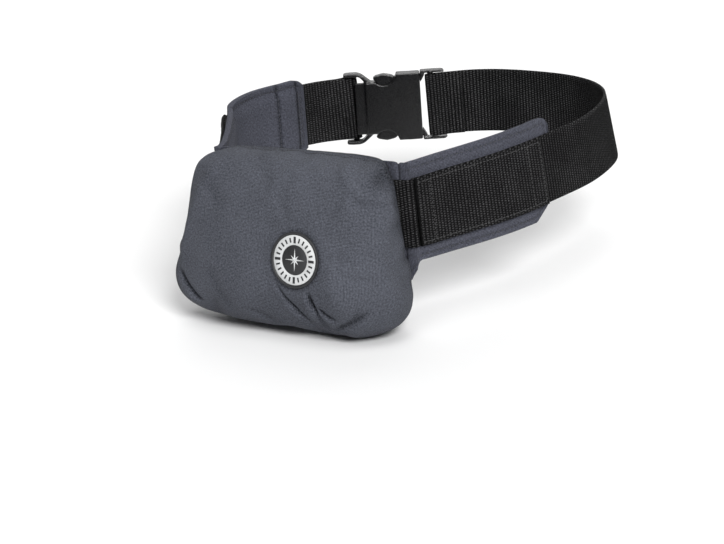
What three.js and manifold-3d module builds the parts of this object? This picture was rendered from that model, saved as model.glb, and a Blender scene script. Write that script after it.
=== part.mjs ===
// Inflatable belt pack: a padded pouch on a webbing belt with wing pads and a side-release buckle.
// Millimetres, +Z up. The pouch faces -Y. The origin is the middle of the waist, at the webbing's
// mid height, on the pouch's middle plane.
import * as THREE from 'three';
import { mergeVertices } from 'three/addons/utils/BufferGeometryUtils.js';
import Module from 'manifold-3d';

const wasm = await Module();
wasm.setup();

// Driving sizes
const BELT_HALF_WIDTH = 150;
const BELT_HALF_DEPTH = 145;
const WEBBING_WIDTH = 51;
const WEBBING_THICK = 2;
const CLEARANCE = 0.3;

const PAD_THICK = 7;
const PAD_EDGE_THICK = 4.6;
const PAD_HALF_HEIGHT = 38;
const RIGHT_WING_LENGTH = 146;
const LEFT_WING_LENGTH = 220;
const WING_FLARE = 15;

const PANEL_HALF_WIDTH = 79;
const PANEL_THICK = 6.5;
const PANEL_FOOT_HALF_WIDTH = 71;
const PANEL_CORNER = 26;
const PANEL_SOFT_EDGE = 1.4;

const COVER_HALF_WIDTH = 80;
const COVER_TOP = 42;
const COVER_BOTTOM = -87;
const COVER_DEPTH = 57;
const COVER_WALL = 2;
const COVER_SQUARENESS = 4.2;
const COVER_LEFT_SWELL = 0.42;
const COVER_RIGHT_SWELL = 0.10;
const COVER_TOP_SLOPE = 0.07;
const COVER_SKEW = 3;
const OUTLINE_TOP_SQUARENESS = 8;
const OUTLINE_BOTTOM_SQUARENESS = 5;
const COVER_TAPER = 0.05;
const COVER_STEPS_ROUND = 64;
const COVER_STEPS_DEEP = 13;

const LAYER_LENGTH = 120;
const LAYER_START = 11;

const BADGE_RADIUS = 20.5;
const BADGE_THICK = 2.2;
const BADGE_RIM = 1.6;
const BADGE_ACROSS = 18.5;
const BADGE_HEIGHT = -24;

const SOCKET_MOUTH = 9.5;
const SOCKET_LENGTH = 45;
const SOCKET_HALF_HEIGHT = 27.6;
const SOCKET_NECK_HALF_HEIGHT = 21.5;
const SOCKET_THICK = 13;
const BUCKLE_WALL = 2.4;
const SLEEVE_LENGTH = 22;
const WINDOW_MIDDLE = 39;
const WINDOW_HALF_LENGTH = 10.5;
const WINDOW_FLOOR = 18.5;
const EAR_REACH = 7.5;
const EAR_HALF_HEIGHT = 29.5;
const EAR_THICK = 10;
const LIP_THICK = 3;
const LIP_SHORT = 1.5;
const PRONG_HALF_HEIGHT = 28.8;
const PRONG_THICK = 9;
const PRONG_EAR_REACH = 11;
const ARM_WIDTH = 6;
const RAIL_CLEARANCE = 1.2;
const BAR_THICK = 4;
const BAR_SLACK = 0.5;
const FOLD_LENGTH = 26;
const TAIL_LENGTH = 62;

const STATION_STEP = 9;
const BEND_STATION_STEP = 3;

// The belt's line seen from above, the middle of the webbing's thickness and height.
// across and back are shares of the belt's half width and half depth, lift is a share of the
// webbing's width, and lean is in degrees, positive where the top edge leans outward. Where the
// belt bends next to the panel, beside gives the place as a share of the panel's half width.
const BELT_LINE = [
  { across: 0.000, back: -0.980, lift: 0.00, lean: 0 },
  { beside: 1.0006, back: -0.980, lift: 0.00, lean: 0 },
  { beside: 1.1165, back: -0.925, lift: 0.00, lean: -1 },
  { across: 0.640, back: -0.790, lift: 0.00, lean: -3 },
  { across: 0.790, back: -0.430, lift: 0.02, lean: -6 },
  { across: 0.873, back: -0.085, lift: 0.04, lean: -5 },
  { across: 0.900, back: 0.250, lift: 0.04, lean: -5 },
  { across: 0.833, back: 0.590, lift: 0.05, lean: -7 },
  { across: 0.667, back: 0.820, lift: 0.04, lean: -5 },
  { across: 0.400, back: 0.972, lift: 0.01, lean: 0 },
  { across: 0.067, back: 1.007, lift: 0.00, lean: 4 },
  { across: -0.190, back: 0.986, lift: -0.02, lean: 6 },
  { across: -0.424, back: 0.875, lift: -0.038, lean: 4 },
  { across: -0.604, back: 0.754, lift: -0.018, lean: 3 },
  { across: -0.784, back: 0.632, lift: 0.002, lean: 2 },
  { across: -0.907, back: 0.456, lift: 0.045, lean: -1 },
  { across: -0.968, back: 0.220, lift: 0.09, lean: -3 },
  { across: -1.032, back: -0.030, lift: 0.09, lean: -4 },
  { across: -1.010, back: -0.260, lift: 0.06, lean: -5 },
  { across: -0.887, back: -0.450, lift: 0.03, lean: -5 },
  { across: -0.730, back: -0.690, lift: 0.01, lean: -4 },
  { across: -0.627, back: -0.850, lift: 0.00, lean: -2 },
  { beside: -1.1165, back: -0.925, lift: 0.00, lean: -1 },
  { beside: -1.0006, back: -0.980, lift: 0.00, lean: 0 },
];
const PRONG_BAR_ROW = 12;
const SOCKET_BAR_ROW = 14;

// A wing's outline: along is a share of the wing's length from the panel to the free end, and
// top and bottom are shares of the pad's half height.
const RIGHT_WING = [
  { along: 0.00, top: 0.98, bottom: 0.98 },
  { along: 0.82, top: 0.99, bottom: 0.98 },
  { along: 0.92, top: 1.00, bottom: 0.72 },
  { along: 0.975, top: 0.98, bottom: 0.62 },
  { along: 1.00, top: 0.86, bottom: 0.55 },
];
const LEFT_WING = [
  { along: 0.00, top: 0.98, bottom: 0.98 },
  { along: 0.30, top: 0.98, bottom: 0.98 },
  { along: 0.60, top: 0.93, bottom: 0.98 },
  { along: 0.90, top: 0.87, bottom: 0.98 },
  { along: 0.95, top: 0.87, bottom: 0.84 },
  { along: 0.985, top: 0.82, bottom: 0.74 },
  { along: 1.00, top: 0.71, bottom: 0.68 },
];

// How far the cover stands out, from the bottom seam to the top seam, as shares of its depth.
const COVER_PROFILE = [
  { height: 0.00, depth: 0.92 },
  { height: 0.18, depth: 1.00 },
  { height: 0.35, depth: 0.98 },
  { height: 0.60, depth: 0.86 },
  { height: 0.85, depth: 0.74 },
  { height: 1.00, depth: 0.70 },
];

// Folds and dimples in the cover: across and height place the middle as shares of the half width
// and of the full height, length and width are shares of the half width, turn is the heading in
// degrees from level, and depth is in millimetres.
const COVER_FOLDS = [
  { across: -0.82, height: 0.13, length: 0.12, width: 0.09, turn: 62, depth: 4.0 },
  { across: 0.20, height: 0.16, length: 0.20, width: 0.05, turn: -52, depth: 2.2 },
  { across: 0.42, height: 0.12, length: 0.13, width: 0.05, turn: -58, depth: 2.6 },
  { across: 0.66, height: 0.84, length: 0.26, width: 0.09, turn: -40, depth: -1.6 },
];

const material = (color, roughness) => new THREE.MeshStandardMaterial({ color, roughness });
const COVER_FABRIC = material(0x50545f, 0.9);
const PAD_FABRIC = material(0x484c58, 0.9);
const WEBBING = material(0x1c1c1e, 0.85);
const BUCKLE_PLASTIC = material(0x17171a, 0.5);
const BADGE_RUBBER = material(0x1e1f22, 0.6);

const pack = new THREE.Group();
pack.name = 'inflatable_belt_pack';

// Meshes and solids
const MERGE_REACH = 1e-4;

function bare(geometry) {
  const copy = geometry.clone();
  copy.deleteAttribute('normal');
  copy.deleteAttribute('uv');
  const merged = mergeVertices(copy, MERGE_REACH);
  const corners = merged.index.array;
  const kept = [];
  for (let i = 0; i < corners.length; i += 3) {
    const [a, b, c] = corners.slice(i, i + 3);
    if (a !== b && b !== c && c !== a) {
      kept.push(a, b, c);
    }
  }
  merged.setIndex(kept);
  return merged;
}

function toSolid(geometry) {
  const clean = bare(geometry);
  return new wasm.Manifold(new wasm.Mesh({
    numProp: 3,
    vertProperties: new Float32Array(clean.attributes.position.array),
    triVerts: new Uint32Array(clean.index.array),
  }));
}

function toGeometry(solid) {
  const mesh = solid.getMesh();
  const geometry = new THREE.BufferGeometry();
  geometry.setAttribute('position', new THREE.BufferAttribute(mesh.vertProperties, 3));
  geometry.setIndex(new THREE.BufferAttribute(mesh.triVerts, 1));
  return geometry;
}

function addPiece(name, geometry, look) {
  const mesh = new THREE.Mesh(geometry, look);
  mesh.name = name;
  pack.add(mesh);
  return mesh;
}

// Moves each vertex of a merged geometry to the place that a function gives for it
function remap(geometry, place) {
  const clean = bare(geometry);
  const position = clean.attributes.position;
  const vertex = new THREE.Vector3();
  for (let i = 0; i < position.count; i += 1) {
    vertex.fromBufferAttribute(position, i);
    const moved = place(vertex);
    position.setXYZ(i, moved.x, moved.y, moved.z);
  }
  return clean;
}

const clamp01 = (value) => Math.min(1, Math.max(0, value));
const smooth = (low, high, value) => {
  const share = clamp01((value - low) / (high - low));
  return share * share * (3 - 2 * share);
};

// Reads a column of a table at a place along it, with straight lines between the rows
function readTable(rows, key, column, value) {
  for (let i = 1; i < rows.length; i += 1) {
    if (value <= rows[i][key]) {
      const share = clamp01((value - rows[i - 1][key]) / (rows[i][key] - rows[i - 1][key]));
      return rows[i - 1][column] + share * (rows[i][column] - rows[i - 1][column]);
    }
  }
  return rows[rows.length - 1][column];
}

// The belt's line as a closed curve, with a frame at each length along it
const CURVE_TENSION = 0.5;
const CURVE_DIVISIONS = 4000;
const acrossAt = (row) => (
  row.beside === undefined ? row.across * BELT_HALF_WIDTH : row.beside * PANEL_HALF_WIDTH
);
const beltCurve = new THREE.CatmullRomCurve3(
  BELT_LINE.map((row) => new THREE.Vector3(
    acrossAt(row),
    row.back * BELT_HALF_DEPTH,
    row.lift * WEBBING_WIDTH,
  )),
  true,
  'catmullrom',
  CURVE_TENSION,
);
beltCurve.arcLengthDivisions = CURVE_DIVISIONS;
const leanCurve = new THREE.CatmullRomCurve3(
  BELT_LINE.map((row) => new THREE.Vector3(row.lean, 0, 0)),
  true,
  'catmullrom',
  CURVE_TENSION,
);
const BELT_LENGTH = beltCurve.getLength();

const UP = new THREE.Vector3(0, 0, 1);

function wrapLength(s) {
  return ((s % BELT_LENGTH) + BELT_LENGTH) % BELT_LENGTH;
}

function frameAt(s) {
  const t = beltCurve.getUtoTmapping(wrapLength(s) / BELT_LENGTH);
  const point = beltCurve.getPoint(t);
  const along = beltCurve.getTangent(t);
  along.z = 0;
  along.normalize();
  const level = new THREE.Vector3().crossVectors(along, UP);
  const lean = THREE.MathUtils.degToRad(leanCurve.getPoint(t).x);
  const rise = UP.clone().multiplyScalar(Math.cos(lean)).addScaledVector(level, Math.sin(lean));
  const out = level.clone().multiplyScalar(Math.cos(lean)).addScaledVector(UP, -Math.sin(lean));
  return { point, out, rise };
}

// A place on the belt: s along it, n outward from its line, b up across it
function onBelt(s, n, b) {
  const frame = frameAt(s);
  return frame.point.clone().addScaledVector(frame.out, n).addScaledVector(frame.rise, b);
}

// The length along the belt at which the curve passes a row of the table
function lengthAtRow(row) {
  const lengths = beltCurve.getLengths(CURVE_DIVISIONS);
  return lengths[Math.round((row / BELT_LINE.length) * CURVE_DIVISIONS)];
}

const PRONG_BAR_AT = lengthAtRow(PRONG_BAR_ROW);
const SOCKET_BAR_AT = lengthAtRow(SOCKET_BAR_ROW);

// Stations along the belt that every strap and pad shares: evenly spaced, closer together at the
// panel's bends, and one at each row of a wing's outline and each end of a webbing layer
const BEND_REACH = 26;
const LEAST_STEP = 0.8;
const SAME_STATION = 0.01;
const layerNear = COVER_HALF_WIDTH + LAYER_START;
const layerFar = layerNear + LAYER_LENGTH;
const wingNear = PANEL_HALF_WIDTH + CLEARANCE / 2;
const fixedStations = [
  ...RIGHT_WING.map((row) => wingNear + row.along * RIGHT_WING_LENGTH),
  ...LEFT_WING.map((row) => -wingNear - row.along * LEFT_WING_LENGTH),
  wingNear + WING_FLARE,
  -wingNear - WING_FLARE,
  layerNear,
  layerFar,
  -layerNear,
  -layerFar,
];
const bendNear = (s) => Math.abs(Math.abs(s) - PANEL_HALF_WIDTH - BEND_REACH / 2) < BEND_REACH / 2;
const evenStations = [];
for (let s = SOCKET_BAR_AT - BELT_LENGTH + STATION_STEP; s < PRONG_BAR_AT - LEAST_STEP;) {
  if (fixedStations.every((fixed) => Math.abs(fixed - s) > LEAST_STEP)) {
    evenStations.push(s);
  }
  s += bendNear(s) ? BEND_STATION_STEP : STATION_STEP;
}
const STATIONS = [...fixedStations, ...evenStations].sort((a, b) => a - b);

function stationsBetween(start, end) {
  const between = STATIONS.filter((s) => s > start + SAME_STATION && s < end - SAME_STATION);
  return [start, ...between, end];
}

// A flat strap along the belt, from stations of { s, n, turn } in the plane of s and n
function strap(stations, width, thick) {
  const count = stations.length - 1;
  const box = new THREE.BoxGeometry(count, thick, width, count, 1, 1);
  return remap(box, (vertex) => {
    const station = stations[Math.round(vertex.x + count / 2)];
    const s = station.s + Math.sin(station.turn) * vertex.y;
    const n = station.n - Math.cos(station.turn) * vertex.y;
    return onBelt(s, n, vertex.z);
  });
}

// Webbing
const FOLD_RADIUS = BAR_THICK / 2 + BAR_SLACK + WEBBING_THICK / 2;
const LAYER_PITCH = WEBBING_THICK + CLEARANCE * 1.6;
const FOLD_STEPS = 8;
const FOLD_ROWS = 7;
const FOLD_SETTLE = 14;
const FOLD_SETTLE_SHARE = 0.6;

// A strap's end that turns round a bar and lies back on itself. side is 1 where it lies back on
// the outer face and -1 on the inner face, and heading is the way the strap runs into the bar.
function foldedEnd(barAt, heading, side, length) {
  const stations = [];
  const settle = Math.min(FOLD_SETTLE, length * FOLD_SETTLE_SHARE);
  for (let i = 1; i <= FOLD_STEPS; i += 1) {
    const angle = (Math.PI * i) / FOLD_STEPS;
    stations.push({
      s: barAt + heading * Math.sin(angle) * FOLD_RADIUS,
      n: side * FOLD_RADIUS * (1 - Math.cos(angle)),
      turn: heading * side * angle,
    });
  }
  for (let i = 1; i <= FOLD_ROWS; i += 1) {
    const back = (length * i) / FOLD_ROWS;
    const ease = smooth(0, settle, back);
    stations.push({
      s: barAt - heading * back,
      n: side * (2 * FOLD_RADIUS + (LAYER_PITCH - 2 * FOLD_RADIUS) * ease),
      turn: heading * side * Math.PI,
    });
  }
  return stations;
}

const beltStart = SOCKET_BAR_AT - BELT_LENGTH;
const beltRun = stationsBetween(beltStart, PRONG_BAR_AT).map((s) => ({ s, n: 0, turn: 0 }));
const tail = foldedEnd(beltStart, -1, 1, TAIL_LENGTH).reverse();
tail.forEach((station) => {
  station.turn += Math.PI;
});
const returnFold = foldedEnd(PRONG_BAR_AT, 1, -1, FOLD_LENGTH);
const beltStations = [...tail, ...beltRun, ...returnFold];
addPiece('belt_webbing', strap(beltStations, WEBBING_WIDTH, WEBBING_THICK), WEBBING);

function webbingLayer(start, end) {
  const stations = stationsBetween(start, end).map((s) => ({ s, n: LAYER_PITCH, turn: 0 }));
  return strap(stations, WEBBING_WIDTH, WEBBING_THICK);
}

addPiece('right_webbing_layer', webbingLayer(layerNear, layerFar), WEBBING);
addPiece('left_webbing_layer', webbingLayer(-layerFar, -layerNear), WEBBING);

// Wing pads: flat against the webbing, padded towards the body
const PAD_OUTER = -(WEBBING_THICK / 2 + CLEARANCE);
const PAD_ROWS = 8;
const PAD_ROW_BIAS = 1.6;
const PAD_SOFT_REACH = 9;

function wingPad(side, length, outline) {
  const start = side > 0 ? wingNear : -wingNear - length;
  const end = start + length;
  const stations = stationsBetween(start, end);
  const count = stations.length - 1;
  const box = new THREE.BoxGeometry(count, 1, 2, count, 1, PAD_ROWS);
  return remap(box, (vertex) => {
    const s = stations[Math.round(vertex.x + count / 2)];
    const fromPanel = side > 0 ? s - start : end - s;
    const along = fromPanel / length;
    const flare = WING_FLARE * (1 - clamp01(fromPanel / WING_FLARE));
    const top = PAD_HALF_HEIGHT * readTable(outline, 'along', 'top', along);
    const bottom = PAD_HALF_HEIGHT * readTable(outline, 'along', 'bottom', along) + flare;
    const spread = Math.sign(vertex.z) * (1 - (1 - Math.abs(vertex.z)) ** PAD_ROW_BIAS);
    const b = spread >= 0 ? spread * top : spread * bottom;
    const edge = Math.min(top - b, b + bottom, length - fromPanel);
    const padding = Math.sqrt(clamp01(edge / PAD_SOFT_REACH));
    const thick = PAD_EDGE_THICK + (PAD_THICK - PAD_EDGE_THICK) * padding;
    const n = vertex.y < 0 ? PAD_OUTER : PAD_OUTER - thick;
    const point = onBelt(s, n, b);
    point.x = side * Math.max(side * point.x, wingNear);
    return point;
  });
}

addPiece('right_wing_pad', wingPad(1, RIGHT_WING_LENGTH, RIGHT_WING), PAD_FABRIC);
addPiece('left_wing_pad', wingPad(-1, LEFT_WING_LENGTH, LEFT_WING), PAD_FABRIC);

// Back panel: flat, its sides seamed to the wings
const panelFront = beltCurve.getPoint(0).y - PAD_OUTER;
const panelBack = panelFront + PANEL_THICK;

function roundedOutline(corners) {
  const shape = new THREE.Shape();
  corners.forEach((corner, i) => {
    const before = corners[(i + corners.length - 1) % corners.length];
    const after = corners[(i + 1) % corners.length];
    const reach = (other) => {
      const away = Math.hypot(other.x - corner.x, other.y - corner.y);
      const share = Math.min(0.5, corner.round / away);
      return [corner.x + (other.x - corner.x) * share, corner.y + (other.y - corner.y) * share];
    };
    if (i === 0) {
      shape.moveTo(...reach(before));
    } else {
      shape.lineTo(...reach(before));
    }
    shape.quadraticCurveTo(corner.x, corner.y, ...reach(after));
  });
  shape.closePath();
  return shape;
}

const flareFoot = -PAD_HALF_HEIGHT - WING_FLARE;
const panelFoot = COVER_BOTTOM + 1;
const panelOutline = roundedOutline([
  { x: PANEL_HALF_WIDTH, y: PAD_HALF_HEIGHT, round: 4 },
  { x: -PANEL_HALF_WIDTH, y: PAD_HALF_HEIGHT, round: 4 },
  { x: -PANEL_HALF_WIDTH, y: flareFoot, round: 2 },
  { x: -PANEL_FOOT_HALF_WIDTH, y: panelFoot, round: PANEL_CORNER },
  { x: PANEL_FOOT_HALF_WIDTH, y: panelFoot, round: PANEL_CORNER },
  { x: PANEL_HALF_WIDTH, y: flareFoot, round: 2 },
]);
const panelGeometry = new THREE.ExtrudeGeometry(panelOutline, {
  depth: PANEL_THICK - 2 * PANEL_SOFT_EDGE,
  bevelThickness: PANEL_SOFT_EDGE,
  bevelSize: PANEL_SOFT_EDGE,
  bevelOffset: -PANEL_SOFT_EDGE,
  bevelSegments: 2,
  curveSegments: 8,
});
panelGeometry.rotateX(Math.PI / 2);
panelGeometry.translate(0, panelBack - PANEL_SOFT_EDGE, 0);
addPiece('back_panel', panelGeometry, PAD_FABRIC);

// Pouch cover: a rounded outline that swells forward, with walls and an open back
const coverMiddle = (COVER_TOP + COVER_BOTTOM) / 2;
const coverHalfHeight = (COVER_TOP - COVER_BOTTOM) / 2;
const coverRim = panelFront - CLEARANCE;

function outlineReach(angle) {
  const across = Math.abs(Math.cos(angle)) / COVER_HALF_WIDTH;
  const high = Math.abs(Math.sin(angle)) / coverHalfHeight;
  const square = Math.sin(angle) > 0 ? OUTLINE_TOP_SQUARENESS : OUTLINE_BOTTOM_SQUARENESS;
  return (across ** square + high ** square) ** (-1 / square);
}

const taperAt = (z) => 1 - COVER_TAPER * ((z - coverMiddle) / coverHalfHeight);

const profileCurve = new THREE.SplineCurve(
  COVER_PROFILE.map((row) => new THREE.Vector2(row.height, row.depth)),
);

const HALVINGS = 24;

function depthShare(height) {
  let low = 0;
  let high = 1;
  for (let i = 0; i < HALVINGS; i += 1) {
    const middle = (low + high) / 2;
    if (profileCurve.getPoint(middle).x < height) {
      low = middle;
    } else {
      high = middle;
    }
  }
  return profileCurve.getPoint(low).y;
}

function foldAt(x, z) {
  let sum = 0;
  for (const fold of COVER_FOLDS) {
    const dx = x / COVER_HALF_WIDTH - fold.across;
    const dz = (z - COVER_BOTTOM - fold.height * 2 * coverHalfHeight) / COVER_HALF_WIDTH;
    const turn = THREE.MathUtils.degToRad(fold.turn);
    const along = (dx * Math.cos(turn) + dz * Math.sin(turn)) / fold.length;
    const aside = (-dx * Math.sin(turn) + dz * Math.cos(turn)) / fold.width;
    sum += fold.depth * Math.exp(-(along * along) - aside * aside);
  }
  return sum;
}

// The webbing leaves the cover through a shallow notch in each side of its rim
const NOTCH_DEEP = WEBBING_THICK + 4 * CLEARANCE;
const NOTCH_MARGIN = 6;

function rimNotch(x, z) {
  const edge = WEBBING_WIDTH / 2 + NOTCH_MARGIN;
  const beside = smooth(0.7, 0.85, Math.abs(x) / COVER_HALF_WIDTH);
  const level = 1 - smooth(edge, edge + NOTCH_MARGIN, Math.abs(z));
  return NOTCH_DEEP * beside * level;
}

const SWELL_END = 0.98;
const SWELL_POWER = 0.8;
const TOP_SWELL_SHARE = 0.42;

function coverSurface(angle, lift) {
  const spread = Math.cos(lift) ** (2 / COVER_SQUARENESS);
  const share = Math.sin(lift) ** (2 / COVER_SQUARENESS);
  const swell = Math.sin(Math.PI * Math.min(1, share / SWELL_END)) ** SWELL_POWER;
  const reach = outlineReach(angle) * spread;
  const level = coverMiddle + reach * Math.sin(angle);
  const low = 1 - smooth(COVER_BOTTOM, COVER_TOP, level);
  const across = reach * Math.cos(angle) * taperAt(level);
  const lowShare = TOP_SWELL_SHARE + (1 - TOP_SWELL_SHARE) * low;
  const sideSwell = across < 0 ? COVER_LEFT_SWELL : COVER_RIGHT_SWELL;
  const x = across * (1 + sideSwell * lowShare * swell);
  const slope = COVER_TOP_SLOPE * Math.max(0, Math.sin(angle)) * share * spread;
  const z = level - reach * slope - COVER_SKEW * low * share * (x / COVER_HALF_WIDTH);
  const height = clamp01((z - COVER_BOTTOM) / (2 * coverHalfHeight));
  const depth = COVER_DEPTH * depthShare(height) * share - foldAt(x, z) * share;
  const notch = rimNotch(x, z) * (1 - share);
  return new THREE.Vector3(x, coverRim - notch - depth, z);
}

const NORMAL_STEP = 0.01;
const POLE_MARGIN = 0.002;

function coverNormal(angle, lift) {
  const low = Math.max(lift - NORMAL_STEP, POLE_MARGIN);
  const high = Math.min(lift + NORMAL_STEP, Math.PI / 2 - POLE_MARGIN);
  const round = coverSurface(angle + NORMAL_STEP, lift).sub(coverSurface(angle - NORMAL_STEP, lift));
  const deep = coverSurface(angle, high).sub(coverSurface(angle, low));
  return new THREE.Vector3().crossVectors(round, deep).normalize();
}

// The badge is stiff, so the cover lies flat behind it
function surfaceAcross(x, z) {
  const angle = Math.atan2(z - coverMiddle, x / taperAt(z));
  const spread = Math.hypot(x / taperAt(z), z - coverMiddle) / outlineReach(angle);
  return { angle, lift: Math.acos(Math.min(1, spread) ** (COVER_SQUARENESS / 2)) };
}

const badgeSpot = surfaceAcross(BADGE_ACROSS, BADGE_HEIGHT);
const badgeNormal = coverNormal(badgeSpot.angle, badgeSpot.lift);
const badgeSeat = coverSurface(badgeSpot.angle, badgeSpot.lift);
const BADGE_FLAT_MARGIN = 3;
const BADGE_FLAT_REACH = 16;

function flattenBehindBadge(point) {
  const offset = point.clone().sub(badgeSeat);
  const stand = offset.dot(badgeNormal);
  const away = offset.addScaledVector(badgeNormal, -stand).length();
  const hold = 1 - smooth(BADGE_RADIUS + BADGE_FLAT_MARGIN, BADGE_RADIUS + BADGE_FLAT_REACH, away);
  return point.addScaledVector(badgeNormal, -stand * hold);
}

const INNER_POLE_MARGIN = 0.03;

function coverPoint(angle, lift, inward) {
  const point = flattenBehindBadge(coverSurface(angle, lift));
  if (inward > 0) {
    point.addScaledVector(coverNormal(angle, Math.min(lift, Math.PI / 2 - INNER_POLE_MARGIN)), -inward);
    if (lift === 0) {
      point.y = coverSurface(angle, lift).y;
    }
  }
  return point;
}

// A turned bowl with a wall gives the cover's mesh
const BOWL_OUTER = 2;
const BOWL_INNER = 1;

function bowlPoint(i, radius) {
  const lift = (Math.PI / 2) * (1 - i / COVER_STEPS_DEEP);
  return new THREE.Vector2(i === 0 ? 0 : radius * Math.cos(lift), radius * Math.sin(lift));
}

const bowl = [];
for (let i = 0; i <= COVER_STEPS_DEEP; i += 1) {
  bowl.push(bowlPoint(i, BOWL_OUTER));
}
for (let i = COVER_STEPS_DEEP; i >= 0; i -= 1) {
  bowl.push(bowlPoint(i, BOWL_INNER));
}
const bowlGeometry = new THREE.LatheGeometry(bowl, COVER_STEPS_ROUND);
const coverGeometry = remap(bowlGeometry, (vertex) => {
  const away = Math.hypot(vertex.x, vertex.z);
  const angle = Math.atan2(vertex.z, vertex.x);
  const lift = away < MERGE_REACH ? Math.PI / 2 : Math.max(0, Math.atan2(vertex.y, away));
  const outer = Math.hypot(away, vertex.y) > (BOWL_OUTER + BOWL_INNER) / 2;
  return coverPoint(angle, lift < MERGE_REACH ? 0 : lift, outer ? 0 : COVER_WALL);
});
addPiece('pouch_cover', coverGeometry, COVER_FABRIC);

// Badge: a round rubber disc with a raised rim
const BADGE_CHAMFER = 0.4;
const BADGE_RIM_RISE = 0.6;
const BADGE_STEPS = 48;
const badgeProfile = [
  new THREE.Vector2(0, 0),
  new THREE.Vector2(BADGE_RADIUS, 0),
  new THREE.Vector2(BADGE_RADIUS, BADGE_THICK - BADGE_CHAMFER),
  new THREE.Vector2(BADGE_RADIUS - BADGE_CHAMFER, BADGE_THICK),
  new THREE.Vector2(BADGE_RADIUS - BADGE_RIM, BADGE_THICK),
  new THREE.Vector2(BADGE_RADIUS - BADGE_RIM - BADGE_CHAMFER, BADGE_THICK - BADGE_RIM_RISE),
  new THREE.Vector2(0, BADGE_THICK - BADGE_RIM_RISE),
];
const badgeDisc = bare(new THREE.LatheGeometry(badgeProfile, BADGE_STEPS));
const badge = addPiece('badge', badgeDisc, BADGE_RUBBER);
badge.quaternion.setFromUnitVectors(new THREE.Vector3(0, 1, 0), badgeNormal);
badge.position.copy(badgeSeat).addScaledVector(badgeNormal, CLEARANCE);

// Buckle: both halves are drawn in a plane with u from the prongs' bar towards the socket's bar
// and v up, then given their thickness and set between the two bars
const prongBarPoint = onBelt(PRONG_BAR_AT, 0, 0);
const socketBarPoint = onBelt(SOCKET_BAR_AT, 0, 0);
const buckleAlong = socketBarPoint.clone().sub(prongBarPoint).normalize();
const buckleRise = frameAt(PRONG_BAR_AT).rise.add(frameAt(SOCKET_BAR_AT).rise).normalize();
const buckleInward = new THREE.Vector3().crossVectors(buckleRise, buckleAlong).normalize();
buckleRise.crossVectors(buckleAlong, buckleInward);
const buckleFrame = new THREE.Matrix4().makeBasis(buckleAlong, buckleRise, buckleInward.clone().negate());
buckleFrame.setPosition(prongBarPoint);
const SOCKET_BAR_U = prongBarPoint.distanceTo(socketBarPoint);

const PLATE_CURVE_STEPS = 10;
const BAR_STEPS = 20;

function plate(shape, thick) {
  const geometry = new THREE.ExtrudeGeometry(shape, {
    depth: thick,
    bevelEnabled: false,
    curveSegments: PLATE_CURVE_STEPS,
  });
  geometry.translate(0, 0, -thick / 2);
  return toSolid(geometry);
}

function mirroredOutline(points) {
  const lower = points.map((point) => ({ ...point, y: -point.y })).reverse();
  return roundedOutline([...points, ...lower]);
}

function ellipse(u, v, halfLength, halfHeight) {
  return new THREE.Shape().absellipse(u, v, halfLength, halfHeight, 0, Math.PI * 2, false, 0);
}

function barSolid(at, side) {
  const frame = frameAt(at);
  const bar = new THREE.CylinderGeometry(BAR_THICK / 2, BAR_THICK / 2, WEBBING_WIDTH + 6, BAR_STEPS);
  bar.applyQuaternion(new THREE.Quaternion().setFromUnitVectors(new THREE.Vector3(0, 1, 0), frame.rise));
  const centre = onBelt(at, side * FOLD_RADIUS, 0);
  bar.translate(centre.x, centre.y, centre.z);
  return toSolid(bar);
}

function placed(solid) {
  const geometry = toGeometry(solid);
  geometry.applyMatrix4(buckleFrame);
  return toSolid(geometry);
}

const slotHalfHeight = WEBBING_WIDTH / 2 + RAIL_CLEARANCE;
const foldReach = FOLD_RADIUS + WEBBING_THICK / 2;
const FOLD_GAP = 1.2;
const cavityHalfHeight = SOCKET_HALF_HEIGHT - BUCKLE_WALL;
const windowHalfHeight = SOCKET_HALF_HEIGHT + BUCKLE_WALL - WINDOW_FLOOR;

function windowCut(side, inset) {
  const middle = side * (SOCKET_HALF_HEIGHT + BUCKLE_WALL);
  return ellipse(WINDOW_MIDDLE, middle, WINDOW_HALF_LENGTH - inset, windowHalfHeight - inset);
}

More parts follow.
